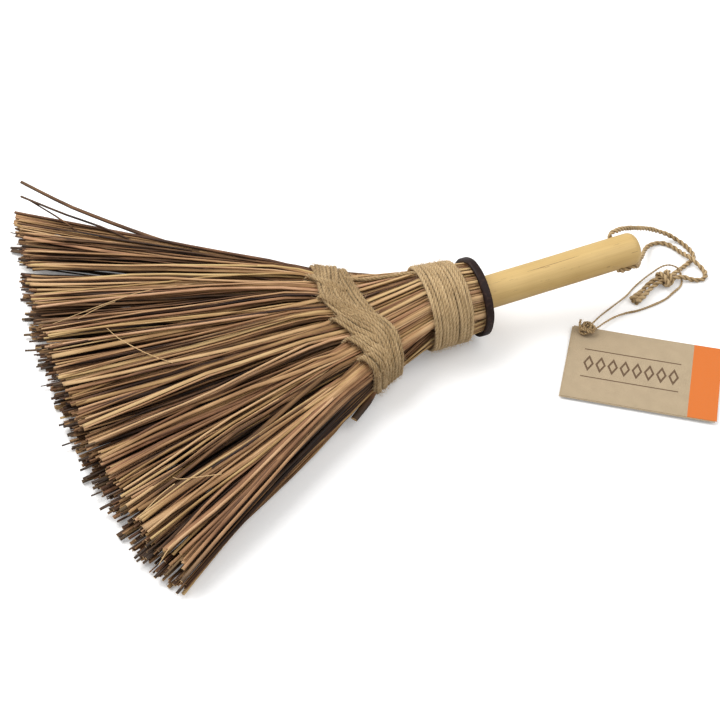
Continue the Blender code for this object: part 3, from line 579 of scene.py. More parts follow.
@dataclass(frozen=True)
class JuteFinish:
    """Jute: khaki fibres that run round each ply, matt and uneven, with painted shade where the
    plies meet.
    """

    name: str
    stops: Stops = (
        (0.0, (0.056, 0.031, 0.012)),
        (0.42, (0.305, 0.197, 0.088)),
        (1.0, (0.660, 0.483, 0.268)),
    )
    scales: Triple = (5200.0, 180.0, 90.0)
    tint_share: float = 0.5
    streak_middle: float = 0.27
    streak_depth: float = 1.60
    blotch_depth: float = 0.3
    # painted shade in the grooves where the plies meet, lighter on their crests
    groove_span: tuple[float, float] = (0.55, 0.92)
    groove_middle: float = 0.6
    groove_shade_depth: float = 0.50
    darker: float = 0.2
    rough: float = 0.92
    shine: float = 0.2
    sheen: float = 0.15
    bump: tuple[float, float] = (0.0003, 0.7)

    def build(self, grain: GrainGroup) -> Material:
        """Makes the material.

        Args:
            grain: The shared streaks.

        Returns:
            The material.
        """
        paint = Paint(self.name)
        streaks, blotches = grain.place(paint, self.scales)
        tone = paint.attribute(TINT) * self.tint_share
        tone = tone + (streaks - self.streak_middle) * self.streak_depth
        tone = tone + blotches * self.blotch_depth
        # Painted shade toward the cord's middle, where the plies meet.
        groove = paint.ranged(paint.attribute(CREST), *self.groove_span)
        tone = tone + (groove - self.groove_middle) * self.groove_shade_depth
        colour = paint.ramp(tone - self.darker, self.stops)
        bump, more = (streaks, *self.bump), {"Sheen Weight": self.sheen}
        return paint.done(colour, self.rough, self.shine, bump, more)


@dataclass(frozen=True)
class WoodFinish:
    """Pale turned wood with fine straight grain, faint bands and a few thin cracks."""

    pale: Triple = (0.670, 0.470, 0.190)
    deep: Triple = (0.520, 0.340, 0.116)
    crack_colour: Triple = (0.120, 0.050, 0.018)
    blotch_scale: float = 42.0
    fine_scales: tuple[float, float] = (1500.0, 28.0)
    broad_scales: tuple[float, float] = (260.0, 7.0)
    shares: Triple = (0.55, 0.6, 0.35)
    darker: float = 0.3
    tone_span: tuple[float, float] = (0.15, 0.75)
    cracks: tuple[Triple, ...] = ((420.0, 9.0, 0.330), (850.0, 60.0, 0.335))
    crack_edge: float = 0.04
    crack_strength: float = 0.8
    grain_relief: float = 0.5
    rough: tuple[float, float] = (0.38, 0.58)
    shine: float = 0.5
    bump: tuple[float, float] = (0.0002, 0.5)

    def build(self, grain: GrainGroup) -> Material:
        """Makes the material.

        Args:
            grain: The shared streaks.

        Returns:
            The material.
        """
        paint = Paint("handle_wood")
        fine, blotches = grain.place(paint, (*self.fine_scales, self.blotch_scale))
        broad, _ = grain.place(paint, (*self.broad_scales, self.blotch_scale))
        tone = fine * self.shares[0] + broad * self.shares[1] + blotches * self.shares[2]
        start, end = self.tone_span
        colour = paint.ramp(tone - self.darker, ((start, self.deep), (end, self.pale)))
        crack = 0.0
        for across, lengthwise, limit in self.cracks:
            thin, _ = grain.place(paint, (across, lengthwise, self.blotch_scale))
            crack = paint.math("MAXIMUM", crack, paint.ranged(thin, limit, limit - self.crack_edge))
        colour = paint.mixed(crack * self.crack_strength, colour, self.crack_colour)
        rough = paint.ranged(fine, 0.0, 1.0, *self.rough)
        relief = fine * self.grain_relief - crack
        return paint.done(colour, rough, self.shine, (relief, *self.bump))


@dataclass(frozen=True)
class BandFinish:
    """The collar's dark brown band, smooth with faint scuffs."""

    colour: Triple = (0.0150, 0.0055, 0.0040)
    scuffed: Triple = (0.050, 0.022, 0.015)
    scuff_noise: tuple[float, float] = (420.0, 4.0)
    cloud_noise: tuple[float, float] = (70.0, 2.0)
    scuff_span: tuple[float, float] = (0.52, 0.75)
    rough: tuple[float, float] = (0.38, 0.60)
    shine: float = 0.22
    bump: tuple[float, float] = (0.00012, 0.35)

    def build(self) -> Material:
        """Makes the material.

        Returns:
            The material.
        """
        paint = Paint("collar_band")
        place = paint.coordinates("Object")
        scuff = paint.noise(place, *self.scuff_noise)
        mask = paint.ranged(scuff, *self.scuff_span)
        colour = paint.mixed(mask, self.colour, self.scuffed)
        rough = paint.ranged(paint.noise(place, *self.cloud_noise), 0.0, 1.0, *self.rough)
        return paint.done(colour, rough, self.shine, (scuff, *self.bump))


@dataclass(frozen=True)
class CardFinish:
    """Kraft card with flecks, an orange end band and a plain printed border of lozenges."""

    kraft: Triple = (0.450, 0.355, 0.235)
    fleck: Triple = (0.215, 0.150, 0.090)
    band: Triple = (0.640, 0.165, 0.030)
    ink: Triple = (0.105, 0.060, 0.035)
    band_share: float = 0.812
    border_shares: tuple[float, float] = (0.10, 0.74)
    lozenges_per_length: float = 12.5
    lozenge_slope: float = 0.26
    lozenge_shares: tuple[float, float] = (0.065, 0.115)
    rule_share: float = 0.19
    rule_half_share: float = 0.007
    stretch: Triple = (1.5, 1.0, 1.0)
    fleck_noise: tuple[float, float] = (160.0, 4.0)
    cloud_noise: tuple[float, float] = (9.0, 3.0)
    fleck_span: tuple[float, float] = (0.50, 0.72)
    cloud_shades: tuple[float, float] = (0.88, 1.1)
    band_fleck_share: float = 0.35
    rough: float = 0.85
    shine: float = 0.25
    bump: tuple[float, float] = (0.00006, 0.5)

    def build(self, printed: bool) -> Material:
        """Makes the material.

        Args:
            printed: Whether the leaf carries the band and the border.

        Returns:
            The material.
        """
        paint = Paint("tag_kraft" if printed else "tag_kraft_plain")
        place = paint.coordinates("UV")
        stretched = paint.vector("MULTIPLY", place, self.stretch)
        fine = paint.noise(stretched, *self.fleck_noise)
        fleck = paint.ranged(fine, *self.fleck_span)
        cloud = paint.noise(stretched, *self.cloud_noise)
        shade = paint.ranged(cloud, 0.0, 1.0, *self.cloud_shades)
        tone = paint.mixed(1.0, paint.mixed(fleck, self.kraft, self.fleck), shade, "MULTIPLY")
        if printed:
            along, across, _ = paint.parts(place)
            ink = self.border(along, across) * paint.math("SUBTRACT", 1.0, fleck)
            tone = paint.mixed(ink, tone, self.ink)
            orange = paint.mixed(fleck * self.band_fleck_share, self.band, tone)
            tone = paint.mixed(along > self.band_share, tone, orange)
        return paint.done(tone, self.rough, self.shine, (fine, *self.bump))

    def border(self, along: Field, across: Field) -> Field:
        """A row of lozenges between two thin rules across the kraft part.

        Args:
            along: The share of the card's length.
            across: The share of its width.

        Returns:
            A mask that is 1 on the ink.
        """
        start, end = self.border_shares
        middle = abs(across - 0.5)
        cell = along.board.math("FRACT", (along - start) * self.lozenges_per_length)
        off = middle + abs(cell - 0.5) * self.lozenge_slope
        lozenge = (off < self.lozenge_shares[1]) * (off > self.lozenge_shares[0])
        rule = abs(middle - self.rule_share) < self.rule_half_share
        return along.board.math("MAXIMUM", lozenge, rule) * ((along > start) * (along < end))


@dataclass(frozen=True)
class Section:
    """One cross-section of all the sticks, square to the broom at a distance behind the ring."""

    back: float
    half_width: float
    half_height: float
    height: float
    core_width: float
    corner: float
    spread_share: float
    sway: float = 0.0
    yaw: float = 0.0

    def side(self) -> np.ndarray:
        """The unit vector across the section, toward the far side."""
        return np.array((-math.sin(self.yaw), math.cos(self.yaw), 0.0))

    def centre(self) -> np.ndarray:
        """The section's middle."""
        return np.array((-self.back, self.sway, self.height))


@dataclass(frozen=True)
class BroomForm:
    """The form that sticks and windings share: the sections, the stake and the tips' arc."""

    foot: Vector
    ring_height: float = 0.0322
    edge_share: float = 0.93
    handle_offset: float = 0.008
    handle_height: float = 0.033
    handle_rise: float = math.radians(6)
    handle_radius: float = 0.012
    stake_length: float = 0.083
    stake_shoulder: float = 0.004
    stake_tip_radius: float = 0.004
    core_clearance: float = 0.0006
    fan_sway: float = 0.0055
    apex_back: float = 0.008
    fan_reach: float = 0.291
    fan_half_angle: float = math.radians(35.4)
    arc_radius: float = 0.828
    arc_tilt: float = math.radians(7)
    tip_thickness: float = 0.0255
    half_steps: int = 36
    sections: tuple[Section, ...] = (
        Section(-0.0030, 0.0249, 0.0249, 0.0322, 0.0126, 2.0, 0.0, 0.0, math.radians(4)),
        Section(0.0045, 0.0249, 0.0249, 0.0322, 0.0126, 2.0, 0.0, 0.0, math.radians(4)),
        Section(0.0095, 0.0266, 0.0266, 0.0319, 0.0126, 2.0, 0.05, 0.0, math.radians(3.6)),
        Section(0.0405, 0.0288, 0.0255, 0.0302, 0.0126, 2.1, 0.3, 0.0017, math.radians(0.8)),
        Section(0.0600, 0.0375, 0.0208, 0.0268, 0.0233, 2.3, 0.55, 0.0033),
        Section(0.0780, 0.0475, 0.0174, 0.0241, 0.0428, 2.6, 0.75, 0.0047),
        Section(0.0950, 0.0564, 0.0158, 0.0226, 0.0564, 3.0, 0.88, 0.0041),
        Section(0.1120, 0.0692, 0.0168, 0.0230, 0.0692, 3.2, 0.9, 0.0025),
    )

    def world(self, points: Any) -> np.ndarray:
        """Points of the broom's frame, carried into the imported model's frame."""
        return np.asarray(points, float) + np.array(self.foot)

    def handle_point(self, along: float) -> np.ndarray:
        """A point of the handle's axis, measured from its foot just outside the ring."""
        foot = np.array((self.handle_offset, 0.0, self.handle_height))
        way = np.array((math.cos(self.handle_rise), 0.0, math.sin(self.handle_rise)))
        return foot + way * along

    def stake_radius(self, back: float) -> float:
        """The stake's radius at a distance behind the ring.

        Args:
            back: The distance behind the ring.

        Returns:
            The radius.
        """
        along = min(back + self.handle_offset, self.stake_length)
        share = max(0.0, (along - self.stake_shoulder) / (self.stake_length - self.stake_shoulder))
        return self.handle_radius + (self.stake_tip_radius - self.handle_radius) * share

    def outer(self, section: Section, share: float) -> np.ndarray:
        """Sideways and upward places of the outer surface.

        Args:
            section: The cross-section.
            share: The share of the way round the upper half, from the far side.

        Returns:
            The two places. The first is from -1 to 1 of the half width before it is scaled.
        """
        edge = 1 - section.spread_share * (1 - self.edge_share)
        place = self.across(section, share)
        rise = max(0.0, 1 - abs(place * edge) ** section.corner) ** (1 / section.corner)
        return np.array((section.half_width * place, section.half_height * rise))

    def across(self, section: Section, share: float) -> float:
        """Where a share of the way round the upper half lies, from -1 to 1 of the half width.

        Args:
            section: The cross-section.
            share: The share of the way round.

        Returns:
            The place.
        """
        edge = 1 - section.spread_share * (1 - self.edge_share)
        turned = (1 - section.spread_share) * math.cos(math.pi * share)
        spread = section.spread_share * self.edge_share * (1 - 2 * share)
        return (turned + spread) / edge

    def core(self, section: Section, share: float, layer: Layer) -> np.ndarray:
        """Sideways and upward places of the opening round the stake, or of the middle plane.

        Args:
            section: The cross-section.
            share: The share of the way round, from the far side.
            layer: The half of the fan.

        Returns:
            The two places.
        """
        place = self.across(section, share)
        sideways = section.core_width * place - section.sway * (1 - place * place)
        axis = self.handle_point(-section.back - self.handle_offset)[2]
        upward = layer.value * (axis - section.height) * (1 - place * place)
        if section.back > self.sections[5].back:
            return np.array((sideways, upward))
        radius = self.stake_radius(section.back) + self.core_clearance
        reach = min(1.0, abs(section.core_width * place) / min(section.core_width, radius * 1.5))
        return np.array((sideways, upward + radius * math.sqrt(1 - reach * reach)))

    def inside(
        self, section: Section, layer: Layer, share: float, depth: float
    ) -> tuple[np.ndarray, np.ndarray]:
        """A point between the core (depth 0) and the surface (depth 1), with its way out.

        Args:
            section: The cross-section.
            layer: The half of the fan.
            share: The share of the way across, from the far side.
            depth: The share of the way out from the core.

        Returns:
            The point and the unit vector that points out of the surface there.
        """
        outer = self.outer(section, share)
        core = self.core(section, share, layer)
        offset = core + (outer - core) * depth
        side, up = section.side(), UP * layer.value
        lean = side * outer[0] / section.half_width**2 + up * outer[1] / section.half_height**2
        point = section.centre() + side * offset[0] + up * offset[1]
        return point, lean / np.linalg.norm(lean)

    def tip(self, share: float, height: float) -> tuple[np.ndarray, np.ndarray, np.ndarray]:
        """The tips' arc at a share of the way across.

        Args:
            share: The share of the way across, from the far side.
            height: The point's height.

        Returns:
            The point, and the unit vectors sideways and outward there.
        """
        apex = np.array((-self.apex_back, self.fan_sway, 0.0))
        lean = np.array((math.cos(self.arc_tilt), math.sin(self.arc_tilt), 0.0))
        centre = apex + np.array((-self.fan_reach, 0.0, 0.0)) + lean * self.arc_radius
        turn = self.fan_half_angle * (1 - 2 * share)
        outward = np.array((-math.cos(turn), math.sin(turn), 0.0))
        side = np.array((-math.sin(turn), -math.cos(turn), 0.0))
        start = apex - centre
        along = start @ outward
        reach = math.sqrt(along * along - start @ start + self.arc_radius**2) - along
        return apex + outward * reach + UP * height, side, outward

    def outline(self, section: Section, lift: float) -> np.ndarray:
        """The section's whole outline, a distance off its surface.

        Args:
            section: The cross-section.
            lift: The distance off the surface.

        Returns:
            The closed outline, which starts at the far side and goes over the top.
        """
        steps = self.half_steps
        flat = [self.outer(section, step / steps) for step in range(steps + 1)]
        below = [self.outer(section, step / steps) * (1, -1) for step in range(steps - 1, 0, -1)]
        edge = np.array(flat + below)
        tangent = np.roll(edge, -1, axis=0) - np.roll(edge, 1, axis=0)
        tangent /= np.linalg.norm(tangent, axis=1)[:, None]
        edge = edge + np.column_stack((tangent[:, 1], -tangent[:, 0])) * lift
        return section.centre() + edge[:, :1] * section.side() + edge[:, 1:] * UP

    def wrapped(self, back: float, index: float, lift: float) -> np.ndarray:
        """A point of the outline at any distance behind the ring.

        Args:
            back: The distance behind the ring.
            index: The place on the outline, in steps.
            lift: The distance off the surface.

        Returns:
            The point in the broom's frame.
        """
        backs = [section.back for section in self.sections]
        low = int(np.clip(np.searchsorted(backs, back) - 1, 0, len(backs) - 2))
        share = (back - backs[low]) / (backs[low + 1] - backs[low])
        first = math.floor(index)
        part = index - first
        points = []
        for section in self.sections[low : low + 2]:
            ring = self.outline(section, lift)
            near, far = ring[first % len(ring)], ring[(first + 1) % len(ring)]
            points.append(near * (1 - part) + far * part)
        return points[0] * (1 - share) + points[1] * share


class Grower:
    """A Geometry Nodes tree with named inputs, which turns strands into a piece."""

    kinds: dict[type, str] = {
        float: "NodeSocketFloat",
        int: "NodeSocketInt",
        type(None): "NodeSocketMaterial",
    }

    def __init__(self, name: str, inputs: dict[str, float | int | None]) -> None:
        """Starts the tree.

        Args:
            name: The tree's name.
            inputs: The named inputs with their default values, where None stands for a material.
        """
        self.tree = bpy.data.node_groups.new(name, "GeometryNodeTree")
        face = self.tree.interface
        face.new_socket("Geometry", in_out="INPUT", socket_type="NodeSocketGeometry")
        for label, value in inputs.items():
            socket = face.new_socket(label, in_out="INPUT", socket_type=self.kinds[type(value)])
            if value is not None:
                socket.default_value = value
        face.new_socket("Geometry", in_out="OUTPUT", socket_type="NodeSocketGeometry")
        self.board = Board(self.tree)
        self.given = self.board.given()

    def named(self, name: str, kind: str = "FLOAT") -> Field:
        """A named attribute of the lines."""
        return self.board.one("GeometryNodeInputNamedAttribute", {"Name": name}, data_type=kind)

    def position(self) -> Field:
        """Where each point is."""
        return self.board.one("GeometryNodeInputPosition")

    def lines(self) -> Field:
        """The strands as curves."""
        return self.board.one("GeometryNodeMeshToCurve", {"Mesh": self.given["Geometry"]})

    def circle(self, sides: Any, radius: Any) -> Field:
        """A round outline to sweep."""
        inputs = {"Resolution": sides, "Radius": radius}
        return self.board.one("GeometryNodeCurvePrimitiveCircle", inputs)

    def swept(self, line: Field, outline: Field, **more: Any) -> Field:
        """An outline swept along curves."""
        inputs = {"Curve": line, "Profile Curve": outline, "Fill Caps": True, **more}
        return self.board.one("GeometryNodeCurveToMesh", inputs)

    def stored(self, geometry: Field, name: str, value: Any, wide: bool, domain: str) -> Field:
        """A geometry with one more named attribute.

        Args:
            geometry: The geometry.
            name: The attribute's name.
            value: Its value.
            wide: Whether it is a vector.
            domain: What carries it.

        Returns:
            The geometry with the attribute.
        """
        return self.board.one(
            "GeometryNodeStoreNamedAttribute",
            {"Geometry": geometry, "Name": name, "Value": value},
            data_type="FLOAT_VECTOR" if wide else "FLOAT",
            domain=domain,
        )

    def captured(self, geometry: Field, numbers: dict, vectors: dict) -> tuple[Field, dict]:
        """Captures fields on the points of a geometry.

        Args:
            geometry: The geometry that keeps them.
            numbers: The fields that are numbers, by name.
            vectors: The fields that are vectors, by name.

        Returns:
            The geometry and the captured fields by name.
        """
        inputs = {"Geometry": geometry}
        node = self.board.add("GeometryNodeCaptureAttribute", inputs, domain="POINT")
        for kind, group in (("FLOAT", numbers), ("VECTOR", vectors)):
            for label in group:
                node.capture_items.new(kind, label)
        self.board.feed(node, {**numbers, **vectors})
        kept = {label: Field(self.board, node.outputs[label]) for label in (*numbers, *vectors)}
        return Field(self.board, node.outputs["Geometry"]), kept

    def finish(self, geometry: Field) -> None:
        """Ends the tree: real geometry above the floor, smooth, with its material.

        Args:
            geometry: What the tree has made.
        """
        board = self.board
        real = board.one("GeometryNodeRealizeInstances", {"Geometry": geometry})
        above = board.vector("MAXIMUM", self.position(), (-10.0, -10.0, 0.0))
        real = board.one("GeometryNodeSetPosition", {"Geometry": real, "Position": above})
        smooth = board.one("GeometryNodeSetShadeSmooth", {"Geometry": real})
        inputs = {"Geometry": smooth, "Material": self.given["Material"]}
        board.add("NodeGroupOutput", {0: board.one("GeometryNodeSetMaterial", inputs)})

    def grow(self, name: str, strands: list[Strand], values: dict[str, Any]) -> Piece:
        """Runs the tree on strands and keeps the result as a plain mesh.

        Args:
            name: The piece's name.
            strands: The lines that the tree starts from.
            values: The values of its named inputs.

        Returns:
            The piece, with no modifier left.
        """
        carrier = linked(name + ".lines", strand_mesh(name + ".lines", strands))
        modifier = carrier.modifiers.new("grow", "NODES")
        modifier.node_group = self.tree
        for item in self.tree.interface.items_tree:
            if item.in_out == "INPUT" and item.name in values:
                modifier[item.identifier] = values[item.name]
        carrier.update_tag()
        mesh = evaluated(carrier)
        mesh.name = name
        return settled(name, mesh)


class StickTree(Grower):
    """The tree that sweeps a flat-bottomed round along every stick's line."""

    def __init__(self) -> None:
        """Builds the tree once."""
        inputs = {"Width": 0.0025, "Height": 0.0018, "Sides": 6, "Waver": 0.0015}
        inputs.update({"Waver scale": 14.0, "Seed": 3.0, "Material": None})
        super().__init__("swept_sticks", inputs)
        board, given = self.board, self.given
        number = self.named("stick")
        line, kept = self.frames(self.wavering(number))
        flat = board.vector("MAXIMUM", self.position(), (-1.0, -0.45, 0.0))
        circle = self.circle(given["Sides"], 1.0)
        circle = board.one("GeometryNodeSetPosition", {0: circle, "Position": flat})
        circle, rim = self.captured(circle, {}, {"shape": self.position()})
        across, upward, _ = board.parts(rim["shape"])
        girth = self.named("girth")
        wide = across * (given["Width"] * girth * 0.5)
        high = upward * (given["Height"] * girth * 0.5 * self.named("flat"))
        place = board.vector("ADD", kept["place"], board.scaled(kept["side"], wide))
        place = board.vector("ADD", place, board.scaled(kept["rise"], high))
        mesh = self.swept(line, circle)
        mesh = board.one("GeometryNodeSetPosition", {0: mesh, "Position": place})
        fibre = board.combined(wide, high, kept["run"])
        fibre = board.vector("ADD", fibre, board.scaled((0.37, 0.71, 0.53), number))
        mesh = self.stored(mesh, FIBRE, fibre, True, "POINT")
        # The height on the profile, which the rib finish turns into a painted highlight along each
        # stick's top.
        mesh = self.stored(mesh, CREST, upward, False, "POINT")
        facing = board.measure("DOT_PRODUCT", board.one("GeometryNodeInputNormal"), kept["way"])
        self.finish(self.stored(mesh, "cut", abs(facing) > 0.7, False, "FACE"))

    def wavering(self, number: Field) -> Field:
        """Moves each line off its straight course where it is loose.

        Args:
            number: The stick's number, which picks its own noise.

        Returns:
            The moved lines.
        """
        board, given = self.board, self.given
        inputs = {"Vector": self.position(), "W": number * 1.7 + given["Seed"]}
        inputs.update({"Scale": given["Waver scale"], "Detail": 1.0})
        noise = board.add("ShaderNodeTexNoise", inputs, noise_dimensions="4D")
        colour = Field(board, noise.outputs["Color"])
        shift = board.vector("SUBTRACT", colour, (0.5, 0.5, 0.5))
        shift = board.scaled(shift, given["Waver"] * self.named("loose"))
        shift = board.vector("MULTIPLY", shift, (2.0, 2.0, 0.6))
        return board.one("GeometryNodeSetPosition", {0: self.lines(), "Offset": shift})

    def frames(self, line: Field) -> tuple[Field, dict[str, Field]]:
        """Captures each point's place, its sideways and upward directions and its run.

        Args:
            line: The lines.

        Returns:
            The lines and the captured fields by name.
        """
        board = self.board
        tangent = board.one("GeometryNodeInputTangent")
        out = self.named("up", "FLOAT_VECTOR")
        side = board.vector("NORMALIZE", board.vector("CROSS_PRODUCT", tangent, out))
        rise = board.vector("CROSS_PRODUCT", side, tangent)
        run = Field(board, board.add("GeometryNodeSplineParameter").outputs["Length"])
        vectors = {"place": self.position(), "side": side, "rise": rise, "way": tangent}
        return self.captured(line, {"run": run}, vectors)


class CordTree(Grower):
    """The tree that lays plies round each line and covers them with fine hairs."""

    ply_reach_share: float = 0.215
    ply_radius_share: float = 0.295
    whole_radius_share: float = 0.51
    fibre_slant: float = -1.6

    def __init__(self) -> None:
        """Builds the tree once."""
        inputs = {"Diameter": 0.0025, "Lay": 0.009, "Plies": 3, "Sides": 6, "Step": 0.0013}
        inputs.update({"Hairs": 330000.0, "Hair length": 0.0042, "Hair thickness": 0.00011})
        inputs.update({"Seed": 5, "Material": None})
        super().__init__("laid_cord", inputs)
        even = self.board.add("GeometryNodeResampleCurve", {"Curve": self.lines()}, mode="LENGTH")
        self.board.feed(even, {"Length": self.given["Step"]})
        plies = self.twisted(Field(self.board, even.outputs[0]))
        joined = self.board.add("GeometryNodeJoinGeometry")
        for part in (plies, self.hairs(plies)):
            self.board.feed(joined, {0: part})
        self.finish(Field(self.board, joined.outputs[0]))

    def twisted(self, line: Field) -> Field:
        """The plies, each on its own helix round the line.

        Args:
            line: The evenly stepped lines.

        Returns:
            The plies' mesh, with its fibre places stored.
        """
        board, given = self.board, self.given
        run = Field(board, board.add("GeometryNodeSplineParameter").outputs["Length"])
        tangent, normal = (board.one("GeometryNodeInput" + kind) for kind in ("Tangent", "Normal"))
        vectors = {"tangent": tangent, "normal": normal, "middle": self.position()}
        line, kept = self.captured(line, {"run": run}, vectors)
        inputs = {"Geometry": line, "Amount": given["Plies"]}
        copies = board.add("GeometryNodeDuplicateElements", inputs, domain="SPLINE")
        part = Field(board, copies.outputs["Duplicate Index"]) / given["Plies"]
        angle = (kept["run"] / given["Lay"] + part) * math.tau
        girth = self.named("girth")
        inputs = {"Vector": kept["normal"], "Axis": kept["tangent"], "Angle": angle}
        arm = board.one("ShaderNodeVectorRotate", inputs, rotation_type="AXIS_ANGLE")
        arm = board.scaled(arm, given["Diameter"] * girth * self.ply_reach_share)
        inputs = {"Geometry": Field(board, copies.outputs[0]), "Offset": arm}
        moved = board.one("GeometryNodeSetPosition", inputs)
        circle = self.circle(given["Sides"], given["Diameter"] * self.ply_radius_share)
        circle, rim = self.captured(circle, {}, {"rim": self.position()})
        mesh = self.swept(moved, circle, Scale=girth)
        inputs = {"Vector": rim["rim"], "Angle": angle * self.fibre_slant}
        turned = board.one("ShaderNodeVectorRotate", inputs, rotation_type="Z_AXIS")
        fibre = board.vector("ADD", turned, board.combined(part, 0.0, kept["run"]))
        # The distance from the cord's middle, which the jute finish turns into painted shade
        # between the plies.
        off = board.measure("DISTANCE", self.position(), kept["middle"])
        crest = off / (given["Diameter"] * girth * self.whole_radius_share)
        mesh = self.stored(mesh, CREST, crest, False, "POINT")
        return self.stored(mesh, FIBRE, fibre, True, "POINT")

    def random(self, low: Any, high: Any) -> Field:
        """A random number or vector for each hair.

        Args:
            low: The least value, as a number or a tuple.
            high: The greatest value.

        Returns:
            The random value.
        """
        wide = isinstance(low, tuple)
        first, kind = (0, "FLOAT_VECTOR") if wide else (2, "FLOAT")
        inputs = {first: low, first + 1: high, "Seed": self.given["Seed"]}
        node = self.board.add("FunctionNodeRandomValue", inputs, data_type=kind)
        return Field(self.board, node.outputs[0 if wide else 1])

    def hairs(self, mesh: Field) -> Field:
        """Loose fibres that stand off the plies.

        Args:
            mesh: The plies' mesh.

        Returns:
            The hairs as instances.
        """
        board, given = self.board, self.given
        density = given["Hairs"] * (self.named("fray") + 1.0)
        inputs = {"Mesh": mesh, "Density": density, "Seed": given["Seed"]}
        spread = board.add("GeometryNodeDistributePointsOnFaces", inputs)
        facing = Field(board, spread.outputs["Rotation"])
        turn = self.random((-0.3, -0.3, 0.0), (0.3, 0.3, math.tau))
        inputs = {
            "Points": Field(board, spread.outputs["Points"]),
            "Instance": self.one_hair(),
            "Rotation": board.one(
                "FunctionNodeRotateRotation", {0: facing, 1: turn}, rotation_space="LOCAL"
            ),
            "Scale": self.random(0.35, 1.25),
        }
        placed = board.one("GeometryNodeInstanceOnPoints", inputs)
        # Hairs are given a crest value, so the jute finish paints them as lit, without groove
        # shade.
        for name, value in ((TINT, self.random(0.5, 1.1)), (CREST, 0.9)):
            placed = self.stored(placed, name, value, False, "INSTANCE")
        return placed

    def one_hair(self) -> Field:
        """A thin three-sided fibre that lifts off the surface and bends over.

        Returns:
            The fibre's mesh.
        """
        length = self.given["Hair length"]
        middle = self.board.combined(length * 0.5, 0.0, length * 0.36)
        end = self.board.combined(length, length * 0.2, length * 0.2)
        inputs = {"Resolution": 3, "Start": (0.0, 0.0, 0.0), "Middle": middle, "End": end}
        arc = self.board.one("GeometryNodeCurveQuadraticBezier", inputs)
        return self.swept(arc, self.circle(3, self.given["Hair thickness"] * 0.5))


@dataclass(frozen=True)
class Slit:
    """A long dark gap where neighbouring sticks part."""

    share: float
    start: float
    end: float
    half_width: float
    rows: int = 5
    reach: float = 0.05
    through: bool = False
    slant_share: float = 0.065

    def shift(self, tip: float, along: float, drop: float) -> float:
        """How far a stick gives way.

        Args:
            tip: The share of the way across the tips where the stick ends.
            along: The share of its way from the lower winding to its tip.
            drop: How deep the stick lies, from 0 at the top to 1 at the floor.

        Returns:
            The sideways move toward the near side, in metres.
        """
        if not self.start < along < self.end:
            return 0.0
        open_share = math.sin(math.pi * (along - self.start) / (self.end - self.start))
        off = tip - self.share + (self.slant_share * drop if self.through else 0.0)
        return math.copysign(self.half_width * open_share * math.exp(-abs(off) / self.reach), off)


@dataclass(frozen=True)
class Build:
    """A stick's own thickness, flatness and colouring."""

    girth: float
    flat: float
    tint: float
    hue: float
    ends: Triple


